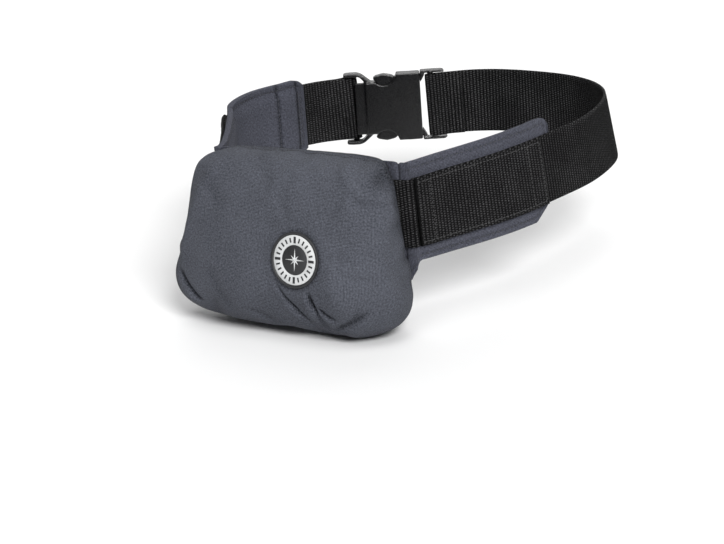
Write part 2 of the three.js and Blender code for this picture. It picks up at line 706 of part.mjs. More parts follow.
function socketHalf() {
  const bodyEnd = SOCKET_MOUTH + SOCKET_LENGTH;
  const earEnd = SOCKET_BAR_U + EAR_REACH;
  const slotStart = SOCKET_BAR_U - foldReach - 1;
  const windowEnd = WINDOW_MIDDLE + WINDOW_HALF_LENGTH;
  const sleeveEnd = SOCKET_MOUTH + SLEEVE_LENGTH;
  const body = mirroredOutline([
    { x: SOCKET_MOUTH, y: SOCKET_HALF_HEIGHT, round: 1.5 },
    { x: sleeveEnd, y: SOCKET_HALF_HEIGHT, round: 2 },
    { x: sleeveEnd + 5, y: SOCKET_NECK_HALF_HEIGHT, round: 2 },
    { x: bodyEnd, y: SOCKET_NECK_HALF_HEIGHT, round: 2 },
  ]);
  const ears = mirroredOutline([
    { x: bodyEnd - 8, y: SOCKET_NECK_HALF_HEIGHT - 1, round: 1 },
    { x: windowEnd, y: SOCKET_NECK_HALF_HEIGHT, round: 1 },
    { x: slotStart, y: EAR_HALF_HEIGHT, round: 4 },
    { x: earEnd, y: EAR_HALF_HEIGHT, round: 5 },
    { x: earEnd, y: slotHalfHeight, round: 1 },
    { x: slotStart, y: slotHalfHeight, round: 2 },
    { x: bodyEnd, y: SOCKET_NECK_HALF_HEIGHT, round: 2 },
  ]);
  const cavity = mirroredOutline([
    { x: SOCKET_MOUTH - 1, y: cavityHalfHeight, round: 1 },
    { x: sleeveEnd, y: cavityHalfHeight, round: 2 },
    { x: bodyEnd - 2 * BUCKLE_WALL, y: SOCKET_NECK_HALF_HEIGHT - BUCKLE_WALL, round: 4 },
  ]);
  const lip = mirroredOutline([
    { x: bodyEnd - 1, y: SOCKET_NECK_HALF_HEIGHT, round: 1 },
    { x: SOCKET_BAR_U - LIP_SHORT, y: SOCKET_NECK_HALF_HEIGHT, round: 1 },
  ]);
  let solid = plate(body, SOCKET_THICK).add(plate(ears, EAR_THICK));
  solid = solid.add(plate(lip, LIP_THICK).translate([0, 0, (LIP_THICK - EAR_THICK) / 2]));
  solid = solid.subtract(plate(cavity, SOCKET_THICK - 2 * BUCKLE_WALL));
  for (const side of [1, -1]) {
    solid = solid.subtract(plate(windowCut(side, 0), SOCKET_THICK + 2));
  }
  return placed(solid).add(barSolid(SOCKET_BAR_AT, 1));
}

function prongHalf() {
  const shoulder = SOCKET_MOUTH - CLEARANCE;
  const root = foldReach + FOLD_GAP;
  const inner = cavityHalfHeight - CLEARANCE;
  const crossEnd = SOCKET_MOUTH + 8;
  const armEnd = WINDOW_MIDDLE + WINDOW_HALF_LENGTH - 3;
  const armThick = SOCKET_THICK - 2 * BUCKLE_WALL - 2 * CLEARANCE;
  const rails = mirroredOutline([
    { x: -PRONG_EAR_REACH, y: PRONG_HALF_HEIGHT, round: 4 },
    { x: shoulder, y: PRONG_HALF_HEIGHT, round: 1 },
  ]);
  const slot = mirroredOutline([
    { x: -PRONG_EAR_REACH - 1, y: slotHalfHeight, round: 0.5 },
    { x: shoulder + 1, y: slotHalfHeight, round: 0.5 },
  ]);
  let solid = plate(rails, PRONG_THICK).subtract(plate(slot, PRONG_THICK + 2));
  const spread = plate(ellipse(WINDOW_MIDDLE, 0, WINDOW_HALF_LENGTH * 2, SOCKET_HALF_HEIGHT), armThick);
  for (const side of [1, -1]) {
    const shoulderBlock = [
      { x: root, y: side * (PRONG_HALF_HEIGHT - 1), round: 0.5 },
      { x: root, y: side * inner, round: 0.5 },
      { x: shoulder, y: side * (inner - ARM_WIDTH), round: 0.5 },
      { x: shoulder, y: side * (PRONG_HALF_HEIGHT - 1), round: 0.5 },
    ];
    const arm = [
      { x: shoulder - 2, y: side * inner, round: 0.5 },
      { x: shoulder - 2, y: side * (inner - ARM_WIDTH / 2), round: 0.5 },
      { x: crossEnd, y: side * (inner - ARM_WIDTH), round: 3 },
      { x: armEnd, y: side * (WINDOW_FLOOR - 3), round: 2 },
      { x: armEnd, y: side * (WINDOW_FLOOR + 1), round: 2 },
      { x: crossEnd + 4, y: side * inner, round: 3 },
    ];
    const ordered = (points) => roundedOutline(side > 0 ? points : [...points].reverse());
    solid = solid.add(plate(ordered(shoulderBlock), armThick)).add(plate(ordered(arm), armThick));
    solid = solid.add(plate(windowCut(side, CLEARANCE), armThick).intersect(spread));
  }
  const cross = mirroredOutline([
    { x: SOCKET_MOUTH + 2, y: inner - 1, round: 1 },
    { x: crossEnd, y: inner - 1, round: 1 },
  ]);
  const guide = mirroredOutline([
    { x: crossEnd - 1, y: 3, round: 0.5 },
    { x: WINDOW_MIDDLE, y: 2, round: 1 },
  ]);
  solid = solid.add(plate(cross, armThick)).add(plate(guide, armThick - 2));
  return placed(solid).add(barSolid(PRONG_BAR_AT, -1));
}

addPiece('buckle_socket', toGeometry(socketHalf()), BUCKLE_PLASTIC);
addPiece('buckle_prongs', toGeometry(prongHalf()), BUCKLE_PLASTIC);

export default pack;
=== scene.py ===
"""Looks for an inflatable belt pack: woven cover, padded wings, ribbed webbing, buckle and badge.

Pieces are drawn in millimetres and end in metres, in the frame's own axes. What runs round the waist
is first laid out flat, as it is sewn: s along the belt, y towards the body and b up. It is then bent
onto the belt's line.
"""

import math

import bmesh
import bpy
import numpy as np
from mathutils import Matrix, Vector, kdtree, noise


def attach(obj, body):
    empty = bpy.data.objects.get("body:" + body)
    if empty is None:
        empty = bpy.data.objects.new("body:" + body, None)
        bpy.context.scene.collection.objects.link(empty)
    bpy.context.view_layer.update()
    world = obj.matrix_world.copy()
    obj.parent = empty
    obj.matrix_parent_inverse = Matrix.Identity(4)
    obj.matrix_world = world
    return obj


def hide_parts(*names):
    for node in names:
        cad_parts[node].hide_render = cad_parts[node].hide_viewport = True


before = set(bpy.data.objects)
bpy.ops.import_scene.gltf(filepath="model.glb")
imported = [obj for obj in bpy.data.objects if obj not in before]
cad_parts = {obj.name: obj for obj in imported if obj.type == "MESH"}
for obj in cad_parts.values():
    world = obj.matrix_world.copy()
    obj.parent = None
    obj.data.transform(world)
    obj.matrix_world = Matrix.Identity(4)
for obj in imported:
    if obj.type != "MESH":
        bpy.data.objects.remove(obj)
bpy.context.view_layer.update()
scene = bpy.context.scene

# In metres: a millimetre, and how near two points merge
MM = 0.001
MERGE_REACH = 0.00001
TINY = 1e-9

# Sizes shared with the frame
BELT_HALF_WIDTH = 150
BELT_HALF_DEPTH = 145
WEBBING_WIDTH = 51
WEBBING_THICK = 2
CLEARANCE = 0.3
LAYER_PITCH = WEBBING_THICK + CLEARANCE * 1.6
FOLD_RADIUS = 3.5
FOLD_LENGTH = 26
TAIL_LENGTH = 62
PAD_THICK = 7
PAD_EDGE_THICK = 4.6
PAD_HALF_HEIGHT = 38
PAD_OUTER = WEBBING_THICK / 2 + CLEARANCE
RIGHT_WING_LENGTH = 146
LEFT_WING_LENGTH = 220
WING_FLARE = 15
PANEL_HALF_WIDTH = 79
PANEL_FOOT_HALF_WIDTH = 71
PANEL_THICK = 6.5
LAYER_LENGTH = 120
LAYER_START = 11
COVER_HALF_WIDTH = 80
COVER_TOP = 42
COVER_BOTTOM = -87
COVER_DEPTH = 57
COVER_SQUARENESS = 4.2
COVER_LEFT_SWELL = 0.42
COVER_RIGHT_SWELL = 0.10
COVER_TOP_SLOPE = 0.07
COVER_SKEW = 3
OUTLINE_TOP_SQUARENESS = 8
OUTLINE_BOTTOM_SQUARENESS = 5
COVER_TAPER = 0.05
BADGE_RADIUS = 20.5
BADGE_ACROSS = 18.5
BADGE_HEIGHT = -24
BADGE_THICK = 2.2

# The belt's line: across and back as shares of the half width and half depth, lift as a share of
# the webbing's width, and the lean of the top edge outward in degrees
BELT_LINE = np.array([
    (0.000, -0.980, 0.00, 0), (0.527, -0.980, 0.00, 0), (0.588, -0.925, 0.00, -1),
    (0.640, -0.790, 0.00, -3), (0.790, -0.430, 0.02, -6), (0.873, -0.085, 0.04, -5),
    (0.900, 0.250, 0.04, -5), (0.833, 0.590, 0.05, -7), (0.667, 0.820, 0.04, -5),
    (0.400, 0.972, 0.01, 0), (0.067, 1.007, 0.00, 4), (-0.190, 0.986, -0.02, 6),
    (-0.424, 0.875, -0.038, 4), (-0.604, 0.754, -0.018, 3), (-0.784, 0.632, 0.002, 2),
    (-0.907, 0.456, 0.045, -1), (-0.968, 0.220, 0.09, -3), (-1.032, -0.030, 0.09, -4),
    (-1.010, -0.260, 0.06, -5), (-0.887, -0.450, 0.03, -5), (-0.730, -0.690, 0.01, -4),
    (-0.627, -0.850, 0.00, -2), (-0.588, -0.925, 0.00, -1), (-0.527, -0.980, 0.00, 0),
]) * (BELT_HALF_WIDTH, BELT_HALF_DEPTH, WEBBING_WIDTH, 1)
PRONG_BAR_ROW = 12
SOCKET_BAR_ROW = 14

# Wing outlines: share of the length, then top and bottom as shares of the pad's half height
RIGHT_WING = np.array([
    (0.00, 0.98, 0.98), (0.82, 0.99, 0.98), (0.92, 1.00, 0.72), (0.975, 0.98, 0.62), (1.00, 0.86, 0.55),
])
LEFT_WING = np.array([
    (0.00, 0.98, 0.98), (0.30, 0.98, 0.98), (0.60, 0.93, 0.98), (0.90, 0.87, 0.98),
    (0.95, 0.87, 0.84), (0.985, 0.82, 0.74), (1.00, 0.71, 0.68),
])

# How far the cover stands out at each share of its height, as shares of its depth
COVER_PROFILE = np.array([
    (0.00, 0.92), (0.18, 1.00), (0.35, 0.98), (0.60, 0.86), (0.85, 0.74), (1.00, 0.70),
])

# Broad folds of the cover: across, height, length, width, turn in degrees, depth in millimetres
COVER_FOLDS = [
    (-0.82, 0.13, 0.12, 0.09, 62, 4.0), (0.20, 0.16, 0.20, 0.05, -52, 2.2),
    (0.42, 0.12, 0.13, 0.05, -58, 2.6), (0.66, 0.84, 0.26, 0.09, -40, -1.6),
]

# Creases in the cover's cloth: the two ends as x and z, then width and depth in millimetres
COVER_CREASES = [
    ((1, -42), (21, -69), 1.6, 1.9), ((29, -45), (35, -69), 1.9, 3.0), ((37, -60), (48, -67), 1.6, 2.0),
    ((-95, -48), (-80, -64), 2.6, 2.6), ((-86, -60), (-76, -66), 1.8, 2.0),
    ((46, 39), (79, 17), 3.4, -2.2), ((56, 24), (72, 8), 5.0, -0.5), ((-72, 32), (-50, 10), 6.0, 0.5),
    ((50, -75), (68, -60), 3.0, 1.0), ((-30, -66), (-8, -76), 3.5, 0.7),
    ((-60, -40), (-44, -66), 6.0, 0.7), ((-66, 28), (-98, -44), 7.0, -2.4),
    ((79, 14), (86, -58), 4.0, -1.5), ((42, -34), (60, -58), 11.0, -2.4),
    ((46, -76), (72, -62), 2.6, 1.9),
]


def smooth(low, high, value):
    """Rises gently from 0 at low to 1 at high."""
    share = np.clip((value - low) / (high - low), 0, 1)
    return share * share * (3 - 2 * share)


def bell(value, width):
    return np.exp(-((value / width) ** 2))


def hermite(p0, p1, p2, p3, t):
    """A point and its heading on a Catmull-Rom stretch from p1 to p2."""
    m1, m2 = (p2 - p0) / 2, (p3 - p1) / 2
    point = ((2 * t**3 - 3 * t**2 + 1) * p1 + (t**3 - 2 * t**2 + t) * m1
             + (3 * t**2 - 2 * t**3) * p2 + (t**3 - t**2) * m2)
    heading = (6 * t**2 - 6 * t) * (p1 - p2) + (3 * t**2 - 4 * t + 1) * m1 + (3 * t**2 - 2 * t) * m2
    return point, heading


# Belt line
def belt_row(u):
    """Rows of the belt line and their headings, at row numbers that may fall between two rows."""
    i = np.floor(u).astype(int)
    count = len(BELT_LINE)
    rows = [BELT_LINE[(i + k) % count] for k in (-1, 0, 1, 2)]
    return hermite(*rows, (u - i)[:, None])


ROW_SAMPLES = 4001
ROW_STEPS = np.linspace(0, len(BELT_LINE), ROW_SAMPLES)
ROW_POINTS = belt_row(ROW_STEPS)[0][:, :3]
ROW_LENGTHS = np.concatenate([[0], np.cumsum(np.linalg.norm(np.diff(ROW_POINTS, axis=0), axis=1))])
BELT_LENGTH = ROW_LENGTHS[-1]


def length_at_row(row):
    return float(np.interp(row, ROW_STEPS, ROW_LENGTHS))


def on_belt(s, n, b):
    """Places for arrays of s along the belt, n outward from its line and b up across it."""
    u = np.interp(np.mod(s, BELT_LENGTH), ROW_LENGTHS, ROW_STEPS)
    point, heading = belt_row(u)
    heading = heading[:, :2] / np.linalg.norm(heading[:, :2], axis=1)[:, None]
    nil = np.zeros(len(u))
    level = np.stack([heading[:, 1], -heading[:, 0], nil], axis=1)
    up = np.stack([nil, nil, nil + 1], axis=1)
    lean = np.radians(point[:, 3])[:, None]
    rise = up * np.cos(lean) + level * np.sin(lean)
    out = level * np.cos(lean) - up * np.sin(lean)
    return point[:, :3] + out * np.asarray(n)[:, None] + rise * np.asarray(b)[:, None]


PRONG_BAR_AT = length_at_row(PRONG_BAR_ROW)
SOCKET_BAR_AT = length_at_row(SOCKET_BAR_ROW)
BELT_START = SOCKET_BAR_AT - BELT_LENGTH


# Meshes
def sewn_grid(points, cloth, painted_shade=None):
    """A grid bent to rows and columns of points, with its cloth coordinates as its UV map.

    The optional painted_shade, from 0 to 1 at each point, is shade painted into the cloth's colour
    where the spot lies in a crease or a seam.
    """
    rows, columns = points.shape[:2]
    bm = bmesh.new()
    bmesh.ops.create_grid(bm, x_segments=rows - 1, y_segments=columns - 1, size=1)
    layer = bm.loops.layers.uv.new("cloth")
    depth = bm.verts.layers.float.new("painted_shade")
    spots = {}
    for vert in bm.verts:
        along, across = (vert.co.x + 1) / 2, (vert.co.y + 1) / 2
        spots[vert] = (round(along * (rows - 1)), round(across * (columns - 1)))
    for face in bm.faces:
        for loop in face.loops:
            loop[layer].uv = cloth[spots[loop.vert]]
    for vert, spot in spots.items():
        vert.co = points[spot]
        vert[depth] = 0 if painted_shade is None else painted_shade[spot]
    bmesh.ops.scale(bm, vec=(MM, MM, MM), verts=bm.verts)
    bmesh.ops.remove_doubles(bm, verts=bm.verts, dist=MERGE_REACH)
    return bm


def close_up(bm):
    """Fills the open ends and turns every face outward."""
    bmesh.ops.holes_fill(bm, edges=[edge for edge in bm.edges if edge.is_boundary], sides=0)
    if bm.calc_volume(signed=True) < 0:
        bmesh.ops.reverse_faces(bm, faces=bm.faces)


def piece(name, bm, finish, slot, *nodes):
    """One visible piece, which stands for the frame nodes that are named, if any."""
    mesh = bpy.data.meshes.new(name)
    bm.to_mesh(mesh)
    bm.free()
    mesh.polygons.foreach_set("use_smooth", [True] * len(mesh.polygons))
    mesh.materials.append(finish)
    made = bpy.data.objects.new(name, mesh)
    scene.collection.objects.link(made)
    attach(made, "root")
    if nodes:
        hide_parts(*nodes)
    return made


def loop_round(face_steps, edge_steps):
    """A closed loop round a flat section: v from -1 to 1 across it, w from 0 outside to 1 inside."""
    face = np.linspace(-1, 1, face_steps + 1)
    edge = np.linspace(0, 1, edge_steps + 1)
    v = np.concatenate([face, np.ones(edge_steps), face[::-1][1:], -np.ones(edge_steps)])
    w = np.concatenate([face * 0, edge[1:], face[1:] * 0 + 1, edge[::-1][1:]])
    return v, w


# Node trees
SRGB_KNEE, SRGB_SLOPE, SRGB_SHIFT, SRGB_POWER = 0.04045, 12.92, 0.055, 2.4


def linear(red, green, blue):
    """A colour from its 0 to 255 display values."""
    share = np.array([red, green, blue]) / 255
    low, high = share / SRGB_SLOPE, ((share + SRGB_SHIFT) / (1 + SRGB_SHIFT)) ** SRGB_POWER
    return (*np.where(share <= SRGB_KNEE, low, high).tolist(), 1.0)


NOISE_RANGE = (0.3, 0.7)


class Finish:
    """A material whose nodes are added one after another."""

    def __init__(self, name):
        self.material = bpy.data.materials.new(name)
        self.material.use_nodes = True
        self.tree = self.material.node_tree
        self.shader = self.tree.nodes["Principled BSDF"]

    def put(self, socket, value):
        if isinstance(value, bpy.types.NodeSocket):
            self.tree.links.new(value, socket)
        elif value is not None:
            socket.default_value = value

    def node(self, kind, *values, **settings):
        made = self.tree.nodes.new(kind)
        for key, value in settings.items():
            setattr(made, key, value)
        for socket, value in zip(made.inputs, values):
            self.put(socket, value)
        return made.outputs[0]

    def calc(self, operation, *values):
        return self.node("ShaderNodeMath", *values, operation=operation)

    def mix(self, factor, first, second):
        made = self.tree.nodes.new("ShaderNodeMix")
        made.data_type = "RGBA"
        for index, value in zip((0, 6, 7), (factor, first, second)):
            self.put(made.inputs[index], value)
        return made.outputs[2]

    def noise(self, vector, scale, detail, roughness):
        made = self.tree.nodes.new("ShaderNodeTexNoise")
        values = {"Vector": vector, "Scale": scale, "Detail": detail, "Roughness": roughness}
        for key, value in values.items():
            self.put(made.inputs[key], value)
        return made.outputs["Fac"]

    def span(self, value, low, high, to_low=0.0, to_high=1.0):
        return self.node("ShaderNodeMapRange", value, low, high, to_low, to_high)

    def spread(self, value, to_low, to_high):
        """The middle of a noise's range, stretched over a new range."""
        return self.span(value, *NOISE_RANGE, to_low, to_high)

    def bump(self, height, distance, strength=1.0, under=None):
        made = self.tree.nodes.new("ShaderNodeBump")
        values = {"Strength": strength, "Distance": distance, "Height": height, "Normal": under}
        for key, value in values.items():
            self.put(made.inputs[key], value)
        return made.outputs[0]

    def cloth(self, yarn):
        """The cloth coordinates counted in yarns, as a vector and as two numbers."""
        read = self.node("ShaderNodeUVMap", uv_map="cloth")
        scaled = self.tree.nodes.new("ShaderNodeVectorMath")
        scaled.operation = "SCALE"
        self.put(scaled.inputs[0], read)
        self.put(scaled.inputs["Scale"], 1 / yarn)
        parted = self.tree.nodes.new("ShaderNodeSeparateXYZ")
        self.put(parted.inputs[0], scaled.outputs[0])
        return scaled.outputs[0], parted.outputs[0], parted.outputs[1]

    def place(self):
        return self.tree.nodes.new("ShaderNodeTexCoord").outputs["Object"]

    def dress(self, colour, roughness, normal, **settings):
        self.put(self.shader.inputs["Base Color"], colour)
        self.put(self.shader.inputs["Roughness"], roughness)
        self.put(self.shader.inputs["Normal"], normal)
        for key, value in settings.items():
            self.put(self.shader.inputs[key.replace("_", " ")], value)
        return self.material


# Noise textures as their scale, detail and roughness, and the range that each adds to the tone
SLUB, SLUB_TONE = (0.7, 3.0, 0.6), (0.05, 0.55)
MOTTLE, MOTTLE_TONE = (260.0, 4.0, 0.65), (-0.04, 0.04)
FADING, FADING_TONE = (22.0, 3.0, 0.55), (-0.06, 0.06)
FUZZ, FUZZ_TONE = (1.1, 4.0, 0.75), (-0.45, 0.45)
WEAR, WEAR_TONE = (40.0, 3.0, 0.6), (-0.08, 0.08)
FLOW, FLOW_TONE = (60.0, 4.0, 0.55), (0.1, 0.55)
RUBS, RUBS_RANGE, RUBS_TONE = (420.0, 5.0, 0.75), (0.62, 0.8), (0.0, 0.5)
SPARK_DETAIL = (3.0, 0.6)
TWIST = (2500.0, 2.0, 0.5)

# Plain weave, with its bumps in metres
YARN_FLATNESS = 0.35
WEAVE_PAINTED_SHADING = 0.5
CLOTH_TONES = (0.05, 0.95)
CLOTH_ROUGHNESS = (0.72, 0.86)
SLUB_RELIEF = 1.2
WEAVE_BUMP = 0.0004
MOTTLE_BUMP, MOTTLE_STRENGTH = 0.0003, 0.2

# Webbing
RIB_FLATNESS = 0.6
STRAND_SHARE = 0.65
STRAND_PAINTED_SHEEN = 0.8
WEBBING_TONES = (0.1, 1.0)
WEBBING_CONTRAST = 2.9
WEBBING_ROUGHNESS = (0.6, 0.8)
FUZZ_RANGE = (0.2, 0.8)
FUZZ_RELIEF = 0.5
WEBBING_BUMP = 0.0012

# Mouldings and thread
ROUGHNESS_BELOW, ROUGHNESS_ABOVE = 0.07, 0.08
RUBS_ROUGHNESS = (0.6, 0.8, 0.0, 0.1)
SPARK_BUMP, SPARK_STRENGTH = 0.00012, 0.8
FLOW_BUMP, FLOW_STRENGTH = 0.0006, 0.4
TWIST_BUMP, TWIST_STRENGTH = 0.0001, 0.5
TWIST_ROUGHNESS = (0.5, 0.7)


def woven_cloth(name, dark, light, yarn):
    """Plain weave: each crossing is a small bump that runs along the warp or the weft by turns."""
    f = Finish(name)
    vector, u, v = f.cloth(yarn)
    across = f.calc("SINE", f.calc("MULTIPLY", u, math.pi))
    along = f.calc("SINE", f.calc("MULTIPLY", v, math.pi))
    over = f.calc("GREATER_THAN", f.calc("MULTIPLY", across, along), 0.0)
    wide, high = f.calc("ABSOLUTE", across), f.calc("ABSOLUTE", along)
    warp = f.calc("MULTIPLY", f.calc("POWER", wide, YARN_FLATNESS), high)
    weft = f.calc("MULTIPLY", wide, f.calc("POWER", high, YARN_FLATNESS))
    shown_warp = f.calc("MULTIPLY", warp, over)
    shown_weft = f.calc("MULTIPLY", weft, f.calc("SUBTRACT", 1.0, over))
    weave = f.calc("ADD", shown_warp, shown_weft)
    slub = f.noise(vector, *SLUB)
    place = f.place()
    mottle = f.noise(place, *MOTTLE)
    fading = f.noise(place, *FADING)
    # Painted light and shade: the colour follows the weave's relief, lighter on the yarns' crowns and
    # darker between them; slub, mottle and fading vary it at random
    tone = f.calc("ADD", f.calc("MULTIPLY", weave, WEAVE_PAINTED_SHADING), f.spread(slub, *SLUB_TONE))
    tone = f.calc("ADD", tone, f.spread(mottle, *MOTTLE_TONE))
    tone = f.calc("ADD", tone, f.spread(fading, *FADING_TONE))
    # Painted shade: the mesh's painted_shade attribute is taken off the tone, darkening the colour in
    # creases, seams and recesses
    shade = f.tree.nodes.new("ShaderNodeAttribute")
    shade.attribute_name = "painted_shade"
    tone = f.calc("SUBTRACT", f.span(tone, *CLOTH_TONES), shade.outputs["Fac"])
    colour = f.mix(f.span(tone, 0.0, 1.0), dark, light)
    height = f.calc("ADD", weave, f.calc("MULTIPLY", slub, SLUB_RELIEF))
    normal = f.bump(height, WEAVE_BUMP, 1.0, f.bump(mottle, MOTTLE_BUMP, MOTTLE_STRENGTH))
    return f.dress(colour, f.spread(mottle, *CLOTH_ROUGHNESS), normal,
                   Sheen_Weight=0.01, Sheen_Roughness=0.4, Specular_IOR_Level=0.16)


def ribbed_webbing(name, dark, light, rib, yarn):
    """Heavy webbing: ribs across the strap, each a row of yarns half a yarn off the next rib's."""
    f = Finish(name)
    vector, u, v = f.cloth(1.0)
    ribs = f.calc("MULTIPLY", u, 1 / rib)
    crown = f.calc("ABSOLUTE", f.calc("SINE", f.calc("MULTIPLY", ribs, math.pi)))
    odd = f.calc("MULTIPLY", f.calc("FLOOR", ribs), 0.5)
    yarns = f.calc("ADD", f.calc("MULTIPLY", v, 1 / yarn), odd)
    strand = f.calc("ABSOLUTE", f.calc("SINE", f.calc("MULTIPLY", yarns, math.pi)))
    strands = f.calc("ADD", f.calc("MULTIPLY", strand, STRAND_SHARE), 1 - STRAND_SHARE)
    weave = f.calc("MULTIPLY", f.calc("POWER", crown, RIB_FLATNESS), strands)
    fuzz = f.noise(vector, *FUZZ)
    wear = f.noise(f.place(), *WEAR)
    # Painted sheen: the colour is lighter on the crowns of the ribs and yarns and darker between them;
    # fuzz and wear vary it at random
    tone = f.calc("ADD", f.calc("MULTIPLY", weave, STRAND_PAINTED_SHEEN), f.spread(fuzz, *FUZZ_TONE))
    tone = f.calc("ADD", tone, f.spread(wear, *WEAR_TONE))
    colour = f.mix(f.calc("POWER", f.span(tone, *WEBBING_TONES), WEBBING_CONTRAST), dark, light)
    height = f.calc("ADD", weave, f.calc("MULTIPLY", fuzz, FUZZ_RELIEF))
    roughness = f.span(fuzz, *FUZZ_RANGE, *WEBBING_ROUGHNESS)
    return f.dress(colour, roughness, f.bump(height, WEBBING_BUMP), Specular_IOR_Level=0.12)


def moulded(name, dark, light, grain, roughness):
    """Moulded plastic or rubber: a fine spark texture, faint flow marks and light rubs."""
    f = Finish(name)
    place = f.place()
    spark = f.noise(place, grain, *SPARK_DETAIL)
    flow = f.noise(place, *FLOW)
    rubs = f.noise(place, *RUBS)
    tone = f.calc("ADD", f.spread(flow, *FLOW_TONE), f.span(rubs, *RUBS_RANGE, *RUBS_TONE))
    colour = f.mix(tone, dark, light)
    grained = f.spread(spark, roughness - ROUGHNESS_BELOW, roughness + ROUGHNESS_ABOVE)
    rough = f.calc("ADD", grained, f.span(rubs, *RUBS_ROUGHNESS))
    normal = f.bump(spark, SPARK_BUMP, SPARK_STRENGTH, f.bump(flow, FLOW_BUMP, FLOW_STRENGTH))
    return f.dress(colour, rough, normal, Specular_IOR_Level=0.6)


def thread(name, dark, light):
    f = Finish(name)
    twist = f.noise(f.place(), *TWIST)
    colour = f.mix(twist, dark, light)
    normal = f.bump(twist, TWIST_BUMP, TWIST_STRENGTH)
    return f.dress(colour, f.spread(twist, *TWIST_ROUGHNESS), normal, Sheen_Weight=0.1)


# Yarn and rib sizes in millimetres
COVER_YARN, PAD_YARN = 1.0, 1.1
RIB, RIB_YARN = 2.8, 1.8
PLASTIC_GRAIN, RUBBER_GRAIN = 2600.0, 1800.0
PLASTIC_ROUGHNESS, RUBBER_ROUGHNESS = 0.26, 0.6

COVER_CLOTH = woven_cloth("cover_weave", linear(17, 19, 24), linear(103, 106, 116), COVER_YARN)
PAD_CLOTH = woven_cloth("pad_weave", linear(20, 21, 27), linear(97, 99, 111), PAD_YARN)
STRAP = ribbed_webbing("black_webbing", linear(0, 0, 1), linear(90, 90, 91), RIB, RIB_YARN)
PLASTIC = moulded(
    "black_acetal", linear(4, 4, 5), linear(17, 17, 18), PLASTIC_GRAIN, PLASTIC_ROUGHNESS)
RUBBER = moulded(
    "dark_rubber", linear(22, 23, 25), linear(42, 43, 46), RUBBER_GRAIN, RUBBER_ROUGHNESS)
PALE_RUBBER = moulded(
    "pale_rubber", linear(188, 190, 191), linear(218, 219, 218), RUBBER_GRAIN, RUBBER_ROUGHNESS)
BLACK_THREAD = thread("black_thread", linear(14, 14, 15), linear(60, 60, 61))
GREY_THREAD = thread("grey_thread", linear(22, 23, 28), linear(60, 62, 70))


# Stitching
STITCH_PITCH = 3.3
STITCH_BULK = 0.42
STITCH_HALF_LENGTH = 0.43


def stitch_row(bm, start, end, pitch=STITCH_PITCH, bulk=STITCH_BULK):
    """A row of thread loops between two points, in millimetres."""
    start, end = Vector(start), Vector(end)
    count = max(1, round((end - start).length / pitch))
    turn = (end - start).to_track_quat("X", "Z").to_matrix().to_4x4()
    size = Matrix.Diagonal((pitch * STITCH_HALF_LENGTH, bulk, bulk, 1))
    for i in range(count):
        spot = start.lerp(end, (i + 0.5) / count)
        placing = Matrix.Translation(spot) @ turn @ size
        bmesh.ops.create_icosphere(bm, subdivisions=1, radius=1, matrix=placing)


def onto_belt(bm):
    """Bends what was laid out flat in millimetres onto the belt's line, and ends in metres."""
    flat = np.array([vert.co for vert in bm.verts])
    for vert, spot in zip(bm.verts, on_belt(flat[:, 0], -flat[:, 1], flat[:, 2])):
        vert.co = spot * MM


# Straps
STRAP_V, STRAP_W = loop_round(16, 3)
RIB_STEP = 1.4
RIB_RELIEF = 0.2
RIBBED_SHARE = 0.95
SELVEDGE = 0.35
FOLD_STEPS = 18
FOLD_EASE = 14
FOLD_EASE_SHARE = 0.6
HAIR = 0.01


def strap(s, n, turn):
    """Webbing along stations in the plane of s and n, with its ribs raised on both faces."""
    flat = np.abs(STRAP_V) < RIBBED_SHARE
    ribs = np.where(np.arange(len(s)) % 2 == 0, 1, -1)[:, None] * flat * RIB_RELIEF
    y = (STRAP_W - 0.5) * (WEBBING_THICK + 2 * ribs)
    along = s[:, None] + np.sin(turn)[:, None] * y
    out = n[:, None] - np.cos(turn)[:, None] * y
    b = np.broadcast_to(STRAP_V * (WEBBING_WIDTH / 2 - SELVEDGE), y.shape).copy()
    b += np.where(flat, 0, np.sign(STRAP_V)) * np.sin(np.pi * STRAP_W) * SELVEDGE
    points = on_belt(along.ravel(), out.ravel(), b.ravel()).reshape(*y.shape, 3)
    steps = np.hypot(np.diff(s), np.diff(n))
    run = np.concatenate([[0], np.cumsum(steps)])
    far_side = WEBBING_WIDTH * 2 * (STRAP_W > 0.5)
    cloth = np.stack([np.broadcast_to(run[:, None], y.shape), b + far_side], axis=2)
    bm = sewn_grid(points, cloth)
    close_up(bm)
    return bm


def folded_end(bar_at, heading, side, length):
    """Stations of a strap's end that turns round a bar and lies back on itself."""
    angle = np.linspace(0, math.pi, FOLD_STEPS + 1)[1:]
    back = np.arange(RIB_STEP, length + HAIR, RIB_STEP)
    ease = smooth(0, min(FOLD_EASE, length * FOLD_EASE_SHARE), back)
    s = np.concatenate([bar_at + heading * np.sin(angle) * FOLD_RADIUS, bar_at - heading * back])
    n = np.concatenate([
        side * FOLD_RADIUS * (1 - np.cos(angle)),
        side * (2 * FOLD_RADIUS + (LAYER_PITCH - 2 * FOLD_RADIUS) * ease),
    ])
    turn = heading * side * np.concatenate([angle, np.full(len(back), math.pi)])
    return s, n, turn


tail_s, tail_n, tail_turn = (part[::-1] for part in folded_end(BELT_START, -1, 1, TAIL_LENGTH))
fold_s, fold_n, fold_turn = folded_end(PRONG_BAR_AT, 1, -1, FOLD_LENGTH)
run_s = np.arange(BELT_START, PRONG_BAR_AT, RIB_STEP)
piece(
    "belt_strap",
    strap(
        np.concatenate([tail_s, run_s, fold_s]),
        np.concatenate([tail_n, run_s * 0, fold_n]),
        np.concatenate([tail_turn + math.pi, run_s * 0, fold_turn]),
    ),
    STRAP, "webbing", "belt_webbing",
)

